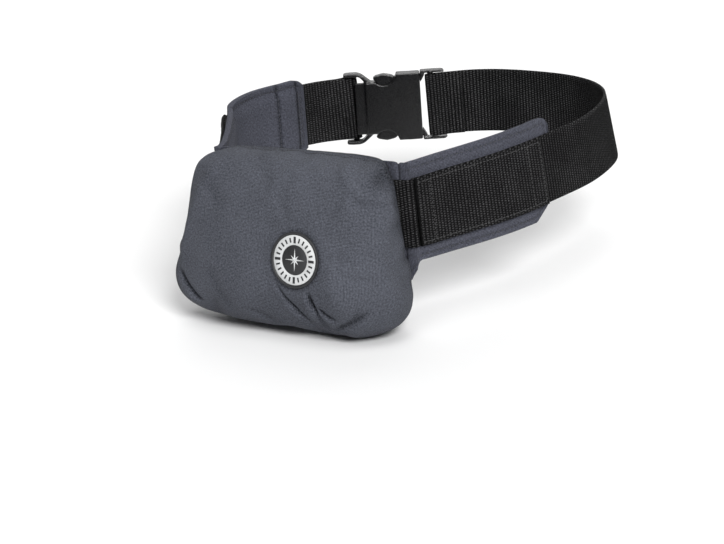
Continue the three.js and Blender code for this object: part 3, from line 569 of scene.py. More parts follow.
layer_near = COVER_HALF_WIDTH + LAYER_START
layer_far = layer_near + LAYER_LENGTH
for side, name in ((1, "right"), (-1, "left")):
    ends = sorted((side * layer_near, side * layer_far))
    stations = np.arange(ends[0], ends[1] + HAIR, RIB_STEP)
    sewn = strap(stations, stations * 0 + LAYER_PITCH, stations * 0)
    piece(f"{name}_layer_strap", sewn, STRAP, "webbing", f"{name}_webbing_layer")

# Pads
PAD_V, PAD_W = loop_round(44, 5)
PAD_STEP = 2.2
PAD_LAST_STEPS = (0.9, 0.35)
EDGE_CROWDING = 1.35
FLARE_POWER = 1.3
EDGE_ROUND = 0.5
NEARLY_ALL = 0.999
PUFF_REACH = 9
PUFF_WAVE, PUFF_WAVE_SHARE, PUFF_SEED = 17, 0.1, 3.1
HEM = 4.5
HEM_WIDTH = 0.9
HEM_GROOVE = 0.5
HEM_RISE = 0.25
HEM_SHADE = 0.2
CHANNEL_WIDTH = 1.8
CHANNEL_FADE = (2, 8)
CHANNEL_SHADE, CHANNEL_SHADE_WIDTH = 0.5, 1.5
GATHER_WAVE, GATHER_RISE, GATHER_WIDTH, GATHER_SEED = 6, 0.3, 6, 5.7
HEM_PITCH = 4.4
INNER_THREAD, OUTER_THREAD, CHANNEL_THREAD = 0.15, 0.2, 0.1
SEED_STRETCH = 2.3


def rumple(points, scale, seed):
    """Even, repeatable noise at each point of an array, from -1 to 1."""
    spots = points.reshape(-1, 3) / scale
    shift = Vector((seed, seed * SEED_STRETCH, 0))
    values = [noise.noise(Vector(spot) + shift) for spot in spots]
    return np.array(values).reshape(points.shape[:-1])


def run_round(points):
    """How far each point lies along its row of a grid."""
    return np.cumsum(np.linalg.norm(np.diff(points, axis=1, prepend=points[:, :1]), axis=2), axis=1)


def wing_stitches(side, near, out, top, bottom, channels):
    """Rows of thread along a wing's hem on both faces, and along its channels on the inner face."""
    rows = bmesh.new()
    length = out[-1]
    inner_face = PAD_OUTER + PAD_EDGE_THICK - HEM_GROOVE + INNER_THREAD
    outer_face = PAD_OUTER + OUTER_THREAD

    def row(face, out_a, up_a, out_b, up_b):
        start, end = (side * (near + out_a), face, up_a), (side * (near + out_b), face, up_b)
        stitch_row(rows, start, end, HEM_PITCH)

    for i in range(0, len(out) - 1, 2):
        j = min(i + 2, len(out) - 1)
        if out[j] > length - HEM:
            break
        for face in (inner_face, outer_face):
            row(face, out[i], top[i] - HEM, out[j], top[j] - HEM)
            row(face, out[i], HEM - bottom[i], out[j], HEM - bottom[j])
    for face in (inner_face, outer_face):
        row(face, length - HEM, HEM - bottom[-1], length - HEM, top[-1] - HEM)
    for channel, depth in channels:
        at = int(np.argmin(np.abs(out - channel)))
        face = PAD_OUTER + PAD_THICK - depth + CHANNEL_THREAD
        row(face, out[at], 2 * HEM - bottom[at], out[at], top[at] - 2 * HEM)
    onto_belt(rows)
    return rows


def wing(side, length, outline, channels, name):
    """A padded wing: turned hem, stitched groove, and padding that swells towards the body."""
    near = PANEL_HALF_WIDTH + CLEARANCE / 2
    out = np.arange(0, length, PAD_STEP)
    out = np.concatenate([out, [length - step for step in PAD_LAST_STEPS], [length]])
    share = out / length
    flare = WING_FLARE * (1 - np.clip(out / WING_FLARE, 0, 1)) ** FLARE_POWER
    top = PAD_HALF_HEIGHT * np.interp(share, outline[:, 0], outline[:, 1])
    bottom = PAD_HALF_HEIGHT * np.interp(share, outline[:, 0], outline[:, 2]) + flare
    crowded = np.sign(PAD_V) * (1 - (1 - np.abs(PAD_V)) ** EDGE_CROWDING)
    b = np.where(PAD_V >= 0, crowded * top[:, None], crowded * bottom[:, None])
    off = np.broadcast_to(out[:, None], b.shape)
    edge = np.minimum(np.minimum(top[:, None] - b, b + bottom[:, None]), length - off)
    hem = bell(edge - HEM, HEM_WIDTH)
    swell = smooth(HEM, HEM + PUFF_REACH, edge)
    flat = np.stack([off, b, b * 0], axis=2)
    puff = rumple(flat, PUFF_WAVE, side * PUFF_SEED)
    gathers = rumple(flat, GATHER_WAVE, side * GATHER_SEED)
    inside = PAD_EDGE_THICK + (PAD_THICK - PAD_EDGE_THICK) * swell * (1 + PUFF_WAVE_SHARE * puff)
    inside -= HEM_GROOVE * hem
    # Painted shade: the colour is darker in the hem groove and, on the inner face, along the sewn
    # channels
    painted_shade = HEM_SHADE * hem
    for channel, depth in channels:
        inside -= depth * bell(off - channel, CHANNEL_WIDTH) * smooth(*CHANNEL_FADE, edge)
        inside += GATHER_RISE * gathers * bell(off - channel, GATHER_WIDTH) * swell
        shade = CHANNEL_SHADE * bell(off - channel, CHANNEL_SHADE_WIDTH)
        painted_shade = np.maximum(painted_shade, shade * (PAD_W > 0.5))
    y = PAD_OUTER + PAD_W * inside + HEM_RISE * hem * (PAD_W < 0.5)
    lip = (np.abs(PAD_V) > NEARLY_ALL) * EDGE_ROUND
    b = b - np.sign(PAD_V) * lip * (1 - np.sin(np.pi * PAD_W))
    s = side * (near + off)
    points = on_belt(s.ravel(), -y.ravel(), b.ravel()).reshape(*b.shape, 3)
    points[..., 0] = side * np.maximum(side * points[..., 0], near)
    bm = sewn_grid(points, np.stack([s, run_round(points)], axis=2), painted_shade)
    close_up(bm)
    made = piece(f"{name}_wing_pad_cloth", bm, PAD_CLOTH, "pad_fabric", f"{name}_wing_pad")
    rows = wing_stitches(side, near, out, top, bottom, channels)
    piece(f"{name}_wing_hem_stitches", rows, GREY_THREAD, "pad_fabric")


# Each wing's sewn channels: how far out and how deep, in millimetres
wing(1, RIGHT_WING_LENGTH, RIGHT_WING, [(122, 0.9)], "right")
wing(-1, LEFT_WING_LENGTH, LEFT_WING, [(118, 0.8), (191, 1.1), (211, 0.6)], "left")

# Stitches that hold the webbing
THREAD_PROUD = 0.02
ROW_INSET = 3
FAR_BOX, NEAR_BOX = 16, 14
FOLD_ROWS = (3.5, 9.5)
straps = bmesh.new()
layer_face = -(LAYER_PITCH + WEBBING_THICK / 2 + THREAD_PROUD)
row_up = WEBBING_WIDTH / 2 - ROW_INSET
for side in (1, -1):
    start, end = side * (layer_near + ROW_INSET), side * (layer_far - ROW_INSET)
    inner = side * (layer_far - FAR_BOX)
    second = side * (layer_near + NEAR_BOX)
    for up in (row_up, -row_up):
        stitch_row(straps, (start, layer_face, up), (end, layer_face, up))
    for at in (start, end, inner, second):
        stitch_row(straps, (at, layer_face, -row_up), (at, layer_face, row_up))
fold_face = WEBBING_THICK / 2 + LAYER_PITCH + THREAD_PROUD
for back in FOLD_ROWS:
    at = PRONG_BAR_AT - FOLD_LENGTH + back
    stitch_row(straps, (at, fold_face, -row_up), (at, fold_face, row_up))
onto_belt(straps)
piece("webbing_stitches", straps, BLACK_THREAD, "webbing")

# Back panel
panel_front = on_belt(np.zeros(1), np.zeros(1), np.zeros(1))[0, 1] + PAD_OUTER
panel_top = PAD_HALF_HEIGHT
panel_bottom = COVER_BOTTOM + 1
flare_foot = -PAD_HALF_HEIGHT - WING_FLARE
FOOT_ROUND = 17
TOP_ROUND = 3
PANEL_STEP = 2.4
PANEL_FIRST_STEPS = np.array([0, 0.15, 0.6, 1.3])
PANEL_LAST_STEPS = np.array([0.6, 0.15, 0])
PANEL_LAST_GAP = 1.5
PANEL_LIP = 1.6
PANEL_LIP_SHARE = 0.35
PANEL_EDGE_THIN = 0.35
PANEL_HEM_GROOVE = 0.45
QUILT_WAVE, QUILT_SEED, QUILT_RISE, QUILT_FADE = 21, 8.0, 0.35, (4, 14)
PANEL_SHY = 0.1


def panel_half_width(z):
    narrowing = (PANEL_HALF_WIDTH - PANEL_FOOT_HALF_WIDTH) * smooth(flare_foot, panel_bottom, z)
    low = np.clip((panel_bottom + FOOT_ROUND - z) / FOOT_ROUND, 0, 1)
    high = np.clip((z - panel_top + TOP_ROUND) / TOP_ROUND, 0, 1)
    corners = FOOT_ROUND * (1 - np.sqrt(1 - low**2)) + TOP_ROUND * (1 - np.sqrt(1 - high**2))
    return PANEL_HALF_WIDTH - narrowing - corners


def back_panel():
    """The padded panel behind the pouch: flat towards it, hemmed and quilted on the body side."""
    levels = np.concatenate([
        panel_bottom + PANEL_FIRST_STEPS,
        np.arange(panel_bottom + PANEL_STEP, panel_top - PANEL_LAST_GAP, PANEL_STEP),
        panel_top - PANEL_LAST_STEPS,
    ])
    half_width = panel_half_width(levels)[:, None]
    x = PAD_V * half_width
    level = np.broadcast_to(levels[:, None], x.shape)
    edge = np.minimum(np.minimum(panel_top - level, level - panel_bottom), half_width - np.abs(x))
    lip = np.sqrt(1 - (1 - np.clip(edge / PANEL_LIP, 0, 1)) ** 2)
    quilt = rumple(np.stack([x, level, x * 0], axis=2), QUILT_WAVE, QUILT_SEED)
    thin = PANEL_EDGE_THIN * PANEL_THICK * (1 - smooth(HEM, HEM + PUFF_REACH, edge))
    thin = thin + PANEL_HEM_GROOVE * bell(edge - HEM, HEM_WIDTH)
    thick = PANEL_THICK - thin + QUILT_RISE * quilt * smooth(*QUILT_FADE, edge)
    thick = thick * (PANEL_LIP_SHARE + (1 - PANEL_LIP_SHARE) * lip)
    y = panel_front + PANEL_SHY + PAD_W * (thick - 2 * PANEL_SHY)
    points = np.stack([x, y, level], axis=2)
    bm = sewn_grid(points, np.stack([level, run_round(points)], axis=2))
    close_up(bm)
    return piece("back_panel_cloth", bm, PAD_CLOTH, "pad_fabric", "back_panel")


panel = back_panel()

# Cloth that settles under a light filling: how coarse its grid is, how long and how hard it is
# blown up, how much longer it is than its form, and how far a point may move in millimetres
SETTLE_SKIP = 4
SETTLE_FRAMES = 18
SETTLE_PRESSURE = 2.5
SETTLE_SLACK = 0.035
SETTLE_REACH = 6
SMALL_BLUR, BROAD_BLUR = 5, 240


def blurred(grid, passes):
    """A grid smoothed both ways. Its first way runs round, and its second stops at both ends."""
    for _ in range(passes):
        ring = grid[:-1]
        ring = (np.roll(ring, 1, axis=0) + 2 * ring + np.roll(ring, -1, axis=0)) / 4
        grid = np.concatenate([ring, ring[:1]])
        wide = np.concatenate([grid[:, :1], grid, grid[:, -1:]], axis=1)
        grid = (wide[:, :-2] + 2 * wide[:, 1:-1] + wide[:, 2:]) / 4
    return grid


def settled(points, hold):
    """How far slack cloth moves at each point of a grid, held where hold is 1, less its broad swell.

    The cloth is simulated on a coarser grid, and its moves are spread back over the fine one.
    """
    coarse = points[::SETTLE_SKIP, ::SETTLE_SKIP]
    rows, columns = coarse.shape[:2]
    bm = sewn_grid(coarse, np.zeros((rows, columns, 2)))
    bmesh.ops.recalc_face_normals(bm, faces=bm.faces)
    mesh = bpy.data.meshes.new("settling")
    bm.to_mesh(mesh)
    bm.free()
    made = bpy.data.objects.new("settling", mesh)
    scene.collection.objects.link(made)
    tree = kdtree.KDTree(len(mesh.vertices))
    for vertex in mesh.vertices:
        tree.insert(vertex.co, vertex.index)
    tree.balance()
    spots = [tree.find(Vector(spot) * MM)[1] for spot in coarse.reshape(-1, 3)]
    group = made.vertex_groups.new(name="held")
    for spot, weight in zip(spots, hold[::SETTLE_SKIP, ::SETTLE_SKIP].ravel()):
        group.add([spot], float(weight), "REPLACE")
    cloth = made.modifiers.new("cloth", "CLOTH")
    cloth.settings.quality = 6
    cloth.settings.mass = 0.3
    cloth.settings.tension_stiffness = 20
    cloth.settings.compression_stiffness = 20
    cloth.settings.bending_stiffness = 0.4
    cloth.settings.shrink_min = -SETTLE_SLACK
    cloth.settings.use_pressure = True
    cloth.settings.uniform_pressure_force = SETTLE_PRESSURE
    cloth.settings.vertex_group_mass = "held"
    cloth.settings.effector_weights.gravity = 0
    cloth.collision_settings.use_collision = False
    cloth.point_cache.frame_end = SETTLE_FRAMES
    for frame_number in range(1, SETTLE_FRAMES + 1):
        scene.frame_set(frame_number)
    shown = made.evaluated_get(bpy.context.evaluated_depsgraph_get()).to_mesh()
    move = np.array([shown.vertices[i].co - mesh.vertices[i].co for i in spots]) / MM
    bpy.data.objects.remove(made)
    scene.frame_set(1)
    move = move.reshape(coarse.shape)
    move *= (SETTLE_REACH / np.maximum(SETTLE_REACH, np.linalg.norm(move, axis=2)))[..., None]
    fine = np.empty(points.shape)
    fine_rows, fine_columns = (np.arange(count) / SETTLE_SKIP for count in points.shape[:2])
    for k in range(3):
        wide = np.array([np.interp(fine_columns, np.arange(columns), line) for line in move[..., k]])
        fine[..., k] = np.array([np.interp(fine_rows, np.arange(rows), line) for line in wide.T]).T
    fine = blurred(fine, SMALL_BLUR)
    return fine - blurred(fine, BROAD_BLUR)


# Pouch cover
SWELL_END, SWELL_POWER = 0.98, 0.8
TOP_SWELL_SHARE = 0.42
NOTCH_BESIDE = (0.7, 0.85)
PROFILE_STEPS, PROFILE_SHY = 400, 1e-6
SEAT_STEP = 0.01
cover_middle = (COVER_TOP + COVER_BOTTOM) / 2
cover_half_height = (COVER_TOP - COVER_BOTTOM) / 2
cover_rim = panel_front - CLEARANCE
NOTCH_DEEP = WEBBING_THICK + 4 * CLEARANCE
NOTCH_MARGIN = 6


def outline_reach(angle):
    across = np.abs(np.cos(angle)) / COVER_HALF_WIDTH
    high = np.abs(np.sin(angle)) / cover_half_height
    square = np.where(np.sin(angle) > 0, OUTLINE_TOP_SQUARENESS, OUTLINE_BOTTOM_SQUARENESS)
    return (across**square + high**square) ** (-1 / square)


def taper_at(z):
    return 1 - COVER_TAPER * ((z - cover_middle) / cover_half_height)


def profile_curve():
    """Heights and depths along a smooth curve through the cover's profile."""
    last = len(COVER_PROFILE) - 1
    t = np.linspace(0, last - PROFILE_SHY, PROFILE_STEPS)
    i = np.floor(t).astype(int)
    rows = [COVER_PROFILE[np.clip(i + k, 0, last)] for k in (-1, 0, 1, 2)]
    return hermite(*rows, (t - i)[:, None])[0]


PROFILE = profile_curve()


def broad_folds(x, z):
    total = np.zeros(x.shape)
    for across, height, length, width, turn, depth in COVER_FOLDS:
        dx = x / COVER_HALF_WIDTH - across
        dz = (z - COVER_BOTTOM - height * 2 * cover_half_height) / COVER_HALF_WIDTH
        angle = math.radians(turn)
        along = (dx * math.cos(angle) + dz * math.sin(angle)) / length
        aside = (-dx * math.sin(angle) + dz * math.cos(angle)) / width
        total += depth * np.exp(-(along**2) - aside**2)
    return total


def cover_surface(angle, lift):
    """Points at angles round the cover's outline and lifts from its rim, up to a quarter turn."""
    spread = np.cos(lift) ** (2 / COVER_SQUARENESS)
    share = np.sin(lift) ** (2 / COVER_SQUARENESS)
    swell = np.clip(np.sin(np.pi * np.minimum(1, share / SWELL_END)), 0, 1) ** SWELL_POWER
    reach = outline_reach(angle) * spread
    level = cover_middle + reach * np.sin(angle)
    low = 1 - smooth(COVER_BOTTOM, COVER_TOP, level)
    across = reach * np.cos(angle) * taper_at(level)
    side_swell = np.where(across < 0, COVER_LEFT_SWELL, COVER_RIGHT_SWELL)
    side_swell = side_swell * (TOP_SWELL_SHARE + (1 - TOP_SWELL_SHARE) * low)
    x = across * (1 + side_swell * swell)
    slope = COVER_TOP_SLOPE * np.maximum(0, np.sin(angle)) * share * spread
    z = level - reach * slope - COVER_SKEW * low * share * (x / COVER_HALF_WIDTH)
    height = np.clip((z - COVER_BOTTOM) / (2 * cover_half_height), 0, 1)
    stand = COVER_DEPTH * np.interp(height, PROFILE[:, 0], PROFILE[:, 1])
    depth = (stand - broad_folds(x, z)) * share
    beside = smooth(*NOTCH_BESIDE, np.abs(x) / COVER_HALF_WIDTH)
    notch_end = WEBBING_WIDTH / 2 + NOTCH_MARGIN
    beyond = smooth(notch_end, notch_end + NOTCH_MARGIN, np.abs(z))
    notch = NOTCH_DEEP * beside * (1 - beyond) * (1 - share)
    return np.stack([x, cover_rim - notch - depth, z], axis=-1)


def badge_seat():
    """Where the badge sits on the cover, and the way it faces."""
    x = BADGE_ACROSS / taper_at(BADGE_HEIGHT)
    angle = math.atan2(BADGE_HEIGHT - cover_middle, x)
    spread = math.hypot(x, BADGE_HEIGHT - cover_middle) / float(outline_reach(np.array(angle)))
    lift = math.acos(spread ** (COVER_SQUARENESS / 2))
    angles = np.array([angle, angle + SEAT_STEP, angle - SEAT_STEP, angle, angle])
    lifts = np.array([lift, lift, lift, lift + SEAT_STEP, lift - SEAT_STEP])
    seat, round_a, round_b, deep_a, deep_b = cover_surface(angles, lifts)
    facing = np.cross(round_a - round_b, deep_a - deep_b)
    return seat, facing / np.linalg.norm(facing)


BADGE_SEAT, BADGE_FACING = badge_seat()
COVER_ROUND = 360
COVER_DEEP = 100
FINE_STEPS = 500
FINE_CROWDING = 2.2
BADGE_FLAT = (BADGE_RADIUS + 3, BADGE_RADIUS + 16)
BADGE_FREE = (BADGE_RADIUS + 1, BADGE_RADIUS + 12)
# Painted shade in a thin ring on the cloth round the badge's edge
BADGE_SHADE, BADGE_SHADE_WIDTH = 0.2, 1.8
WALL_THICK = 1.6

# Creases: how they bow, fade at their ends, lift a lip beside them, and the shade painted into them
CREASE_BOW = 1.2
CREASE_START, CREASE_END = (-0.25, 0.2), (0.75, 1.25)
CREASE_FRONT = -18
CREASE_FRONT_START = 4
LIP_RISE, LIP_AWAY, LIP_WIDTH = 0.5, 2.4, 1.9
FULL_SHADE_DEPTH = 3
SHADE_WIDTH = 0.7
CREASE_SHADE = 0.6

# Waves of the cloth as scale, seed and height, puckers along the rim, the hem and the tucked corner
BROAD_WAVE, SMALL_WAVE = (52, 1.7, 2.2), (21, 4.1, 0.5)
WAVE_SHARE = 0.8
PUCKER_SCALE, PUCKER_SEED, PUCKER_HEIGHT = 9, 6.3, 1.1
PUCKER_STRETCH = (1, 0.25, 1)
PUCKER_REACH, PUCKER_START = 12, (0, 3)
WAVE_START = (0, 4)
COVER_HEM, COVER_HEM_DEEP = 6, 0.35
# Painted shade: how much darker the colour is in the hem groove, along the rim and in the tucked corner
HEM_PAINTED_SHADE, RIM_PAINTED_SHADE, RIM_PAINTED_SHADE_REACH = 0.4, 0.35, 4
CORNER_X, CORNER_Z, CORNER_SIZE = 79, 34, 9
TUCK_DEEP, TUCK_START, TUCK_END = 3.2, (3, 12), (20, 30)
CORNER_PAINTED_SHADE = 0.3
SETTLE_START = (1, 8)
RIM_PITCH, RIM_BULK, RIM_PROUD = 3.6, 0.28, 0.1


def crease(points, start, end, width, depth):
    """A sharp valley, or a ridge where the depth is negative, with a soft lip below, and the shade
    painted along it.
    """
    start, end = np.array(start, float), np.array(end, float)
    way = (end - start) / np.linalg.norm(end - start)
    flat = points[..., [0, 2]] - start
    share = flat @ way / np.linalg.norm(end - start)
    aside = flat @ np.array([-way[1], way[0]]) + CREASE_BOW * np.sin(share * math.pi)
    fade = smooth(*CREASE_START, share) * (1 - smooth(*CREASE_END, share))
    front = smooth(0, CREASE_FRONT, points[..., 1] - (cover_rim - CREASE_FRONT_START))
    lip = LIP_RISE * bell(aside + LIP_AWAY * width, LIP_WIDTH * width)
    shade = max(0, min(1, depth / FULL_SHADE_DEPTH)) * bell(aside, SHADE_WIDTH * width)
    return depth * (bell(aside, width) - lip) * fade * front, shade * fade * front


def cover_points():
    """Rows from the rim to the middle of the front, evenly spaced along each meridian."""
    angles = np.linspace(-math.pi, math.pi, COVER_ROUND + 1)
    fine = np.linspace(0, 1, FINE_STEPS)
    crowded = fine**FINE_CROWDING * (1 - fine) + fine * (1 - (1 - fine) ** FINE_CROWDING)
    grid_angle, grid_lift = np.meshgrid(angles, math.pi / 2 * crowded, indexing="ij")
    surface = cover_surface(grid_angle, grid_lift)
    offset = surface - BADGE_SEAT
    stand = offset @ BADGE_FACING
    away = np.linalg.norm(offset - stand[..., None] * BADGE_FACING, axis=-1)
    hold = 1 - smooth(*BADGE_FLAT, away)
    surface = surface - (stand * hold)[..., None] * BADGE_FACING
    steps = np.linalg.norm(np.diff(surface, axis=1), axis=2)
    reach = np.concatenate([np.zeros((len(angles), 1)), np.cumsum(steps, axis=1)], axis=1)
    rows = np.linspace(0, 1, COVER_DEEP + 1)
    points = np.empty((len(angles), len(rows), 3))
    for i in range(len(angles)):
        for k in range(3):
            points[i, :, k] = np.interp(rows * reach[i, -1], reach[i], surface[i, :, k])
    return angles, points, rows * reach[:, -1:]


def facing_of(points):
    """The way each point of the cover's grid faces, outward."""
    round_way = np.gradient(points, axis=0)
    round_way[0] = round_way[-1] = points[1] - points[-2]
    facing = np.cross(round_way, np.gradient(points, axis=1))
    facing /= np.maximum(np.linalg.norm(facing, axis=2), TINY)[..., None]
    facing[:, -1] = (0, -1, 0)
    return facing


def cover_cloth():
    """The cover's points, facings, distances from the rim, cloth coordinates and painted shade."""
    angles, points, from_rim = cover_points()
    from_middle = from_rim[:, -1:] - from_rim
    facing = facing_of(points)
    away = np.linalg.norm(points - BADGE_SEAT, axis=2)
    free = smooth(*BADGE_FREE, away)
    sink = np.zeros(away.shape)
    painted_shade = np.zeros(away.shape)
    for entry in COVER_CREASES:
        dent, shade = crease(points, *entry)
        sink += dent
        painted_shade = np.maximum(painted_shade, shade)
    waves = [rumple(points, scale, seed) * rise for scale, seed, rise in (BROAD_WAVE, SMALL_WAVE)]
    near_rim = np.exp(-from_rim / PUCKER_REACH) * smooth(*PUCKER_START, from_rim)
    puckers = rumple(points * PUCKER_STRETCH, PUCKER_SCALE, PUCKER_SEED) * near_rim * PUCKER_HEIGHT
    hem = COVER_HEM_DEEP * bell(from_rim - COVER_HEM, HEM_WIDTH)
    aside, above = points[..., 0] - CORNER_X, points[..., 2] - CORNER_Z
    corner = np.exp(-((aside / CORNER_SIZE) ** 2) - (above / CORNER_SIZE) ** 2)
    tuck = TUCK_DEEP * corner * smooth(*TUCK_START, from_rim) * (1 - smooth(*TUCK_END, from_rim))
    waving = ((waves[0] + waves[1]) * WAVE_SHARE + puckers) * free * smooth(*WAVE_START, from_rim)
    rise = waving - sink * free - hem - tuck
    points = points + facing * rise[..., None]
    points[-1] = points[0]
    points = points + settled(points, 1 - free * smooth(*SETTLE_START, from_rim))
    turn = angles[:, None]
    cloth = np.stack([from_middle * np.cos(turn), from_middle * np.sin(turn)], axis=2)
    # Painted shade in the colour: along the creases, in the hem groove, next to the rim, round the
    # badge's edge and in the tucked corner
    painted_shade = CREASE_SHADE * painted_shade * free + HEM_PAINTED_SHADE * hem + RIM_PAINTED_SHADE * np.exp(-from_rim / RIM_PAINTED_SHADE_REACH)
    painted_shade = painted_shade + BADGE_SHADE * bell(away - BADGE_RADIUS, BADGE_SHADE_WIDTH) + CORNER_PAINTED_SHADE * corner
    return points, facing, from_rim, cloth, np.clip(painted_shade, 0, 1)


points, facing, from_rim, cloth, painted_shade = cover_cloth()
cover_bm = sewn_grid(points, cloth, painted_shade)
bmesh.ops.recalc_face_normals(cover_bm, faces=cover_bm.faces)
middle_face = min(cover_bm.faces, key=lambda face: face.calc_center_median().y)
if middle_face.normal.y > 0:
    bmesh.ops.reverse_faces(cover_bm, faces=cover_bm.faces)
cover = piece("cover_cloth", cover_bm, COVER_CLOTH, "cover_fabric", "pouch_cover")
wall = cover.modifiers.new("wall", "SOLIDIFY")
wall.thickness = WALL_THICK * MM
wall.offset = -1

# The cover's hem stitches, on every other meridian
rim_rows = bmesh.new()
for i in range(0, COVER_ROUND, 2):
    ends = []
    for j in (i, i + 2):
        at = int(np.argmin(np.abs(from_rim[j] - COVER_HEM)))
        ends.append(points[j, at] + facing[j, at] * RIM_PROUD)
    if np.linalg.norm(ends[1] - ends[0]) > 1:
        stitch_row(rim_rows, *ends, RIM_PITCH, RIM_BULK)
bmesh.ops.scale(rim_rows, vec=(MM, MM, MM), verts=rim_rows.verts)
piece("cover_hem_stitches", rim_rows, GREY_THREAD, "cover_fabric")

# Badge
BADGE_STEPS = 72
TURN_MERGE = 0.001
BADGE_FLOOR = BADGE_THICK - 0.8
RING_TOP = BADGE_FLOOR + 0.35

# Profiles as radius and height
BADGE_PROFILE = [
    (0, 0), (20.1, 0), (20.5, 0.4), (20.5, 1.5), (20.3, 2.0), (19.9, 2.2), (19.3, 2.2), (18.9, 2.0),
    (18.7, BADGE_FLOOR), (10.9, BADGE_FLOOR), (10.8, BADGE_FLOOR + 0.1), (0, BADGE_FLOOR + 0.1),
]
RING_PROFILE = [
    (11.0, BADGE_FLOOR - 0.3), (18.2, BADGE_FLOOR - 0.3), (18.2, RING_TOP - 0.12), (18.05, RING_TOP),
    (11.15, RING_TOP), (11.0, RING_TOP - 0.12), (11.0, BADGE_FLOOR - 0.3),
]

# Marks on the ring, as half sizes outward, across and up, and the star's reaches in turn
MARKS, MARKS_A_SIDE = 24, 6
LONG_MARK, SHORT_MARK = (2.4, 0.95, 0.22, 1), (1.7, 0.62, 0.22, 1)
MARK_RADIUS = 14.6
MARK_BEVEL = 0.12
STAR_REACHES = (8.6, 1.7, 4.6, 1.7) * 4
STAR_PEAK, STAR_FOOT = 1.1, 0.12


def turned(profile):
    """A disc turned from rows of radius and height, in millimetres, about its own axis."""
    bm = bmesh.new()
    verts = [bm.verts.new((radius, 0, height)) for radius, height in profile]
    edges = [bm.edges.new(pair) for pair in zip(verts, verts[1:])]
    bmesh.ops.spin(bm, geom=verts + edges, angle=math.tau, steps=BADGE_STEPS, use_merge=True,
                   axis=(0, 0, 1), cent=(0, 0, 0))
    bmesh.ops.remove_doubles(bm, verts=bm.verts, dist=TURN_MERGE)
    bmesh.ops.recalc_face_normals(bm, faces=bm.faces)
    return bm


badge_turn = Vector((0, 0, 1)).rotation_difference(Vector(BADGE_FACING)).to_matrix()
upright = badge_turn.inverted() @ Vector((0, 0, 1))
badge_spin = Matrix.Rotation(math.atan2(upright.y, upright.x) - math.pi / 2, 3, "Z")
badge_place = Matrix.Translation(Vector(BADGE_SEAT + BADGE_FACING * CLEARANCE) * MM) @ (
    (badge_turn @ badge_spin).to_4x4() @ Matrix.Diagonal((MM, MM, MM, 1)))


def badge_part(name, bm, finish, *nodes):
    bm.transform(badge_place)
    if bm.calc_volume(signed=True) < 0:
        bmesh.ops.reverse_faces(bm, faces=bm.faces)
    return piece(name, bm, finish, "badge_rubber", *nodes)


def ring_marks():
    marks = bmesh.new()
    for i in range(MARKS):
        size = SHORT_MARK if i % MARKS_A_SIDE else LONG_MARK
        made = bmesh.ops.create_cube(marks, size=2)["verts"]
        turn = Matrix.Rotation(math.tau * i / MARKS, 4, "Z")
        spot = turn @ Matrix.Translation((MARK_RADIUS, 0, RING_TOP))
        bmesh.ops.transform(marks, matrix=spot @ Matrix.Diagonal(size), verts=made)
    bmesh.ops.bevel(marks, geom=marks.edges, offset=MARK_BEVEL, segments=2, profile=0.5, affect="EDGES",
                    material=-1)
    return marks


def faceted_star():
    star = bmesh.new()
    hub = star.verts.new((0, 0, BADGE_FLOOR + STAR_PEAK))
    tips = []
    for i, reach in enumerate(STAR_REACHES):
        turn = math.tau * i / len(STAR_REACHES)
        spot = (reach * math.cos(turn), reach * math.sin(turn), BADGE_FLOOR + STAR_FOOT)
        tips.append(star.verts.new(spot))
    base = star.faces.new(tips)
    for near, far in zip(tips, tips[1:] + tips[:1]):
        star.faces.new((near, far, hub))
    bmesh.ops.reverse_faces(star, faces=[base])
    bmesh.ops.recalc_face_normals(star, faces=star.faces)
    return star


badge_part("badge_base", turned(BADGE_PROFILE), RUBBER, "badge")
badge_part("badge_ring", turned(RING_PROFILE), PALE_RUBBER)
badge_part("badge_marks", ring_marks(), RUBBER)
star_piece = badge_part("badge_star", faceted_star(), PALE_RUBBER)
star_piece.data.polygons.foreach_set("use_smooth", [False] * len(star_piece.data.polygons))

# Buckle
BUCKLE_VOXEL = 0.5
BUCKLE_SMOOTHINGS = 4


def moulded_copy(node):
    """A copy of a frame node with its edges softened, as a moulded part has them."""
    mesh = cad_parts[node].data.copy()
    joined = bmesh.new()
    joined.from_mesh(mesh)
    bmesh.ops.remove_doubles(joined, verts=joined.verts, dist=MERGE_REACH)
    joined.to_mesh(mesh)
    joined.free()
    made = bpy.data.objects.new(f"{node}_copy", mesh)
    scene.collection.objects.link(made)
    remesh = made.modifiers.new("skin", "REMESH")
    remesh.mode = "VOXEL"
    remesh.voxel_size = BUCKLE_VOXEL * MM
    depsgraph = bpy.context.evaluated_depsgraph_get()
    bm = bmesh.new()
    bm.from_mesh(made.evaluated_get(depsgraph).to_mesh())
    bpy.data.objects.remove(made)
    for _ in range(BUCKLE_SMOOTHINGS):
        bmesh.ops.smooth_vert(
            bm, verts=bm.verts, factor=0.5, use_axis_x=True, use_axis_y=True, use_axis_z=True)
    return bm


for name, node in (("buckle_socket_shell", "buckle_socket"), ("buckle_prong_part", "buckle_prongs")):
    piece(name, moulded_copy(node), PLASTIC, "buckle_plastic", node)

# Floor, light and camera
FLOOR_AT = COVER_BOTTOM - 2.4
FLOOR_HALF_SIZE = 6
FLOOR_TONES = (0.85, 0.85, 0.85, 1), (0.88, 0.88, 0.88, 1)
FLOOR_NOISE = (3.0, 2.0, 0.5)
FLOOR_ROUGHNESS = 0.9

# Lights as name, heading round the pack, height and softness in degrees, and power
LIGHTS = [("key", 53, 34, 22, 2.6), ("top", 20, 74, 50, 0.9), ("back", 208, 38, 60, 0.9)]
WORLD_STRENGTH = 0.1
EXPOSURE = 0.33


def heading_vector(heading, height):
    """The way to a spot at a heading round the pack and a height above the floor, in radians."""
    return Vector((
        math.sin(heading) * math.cos(height), -math.cos(heading) * math.cos(height), math.sin(height)))


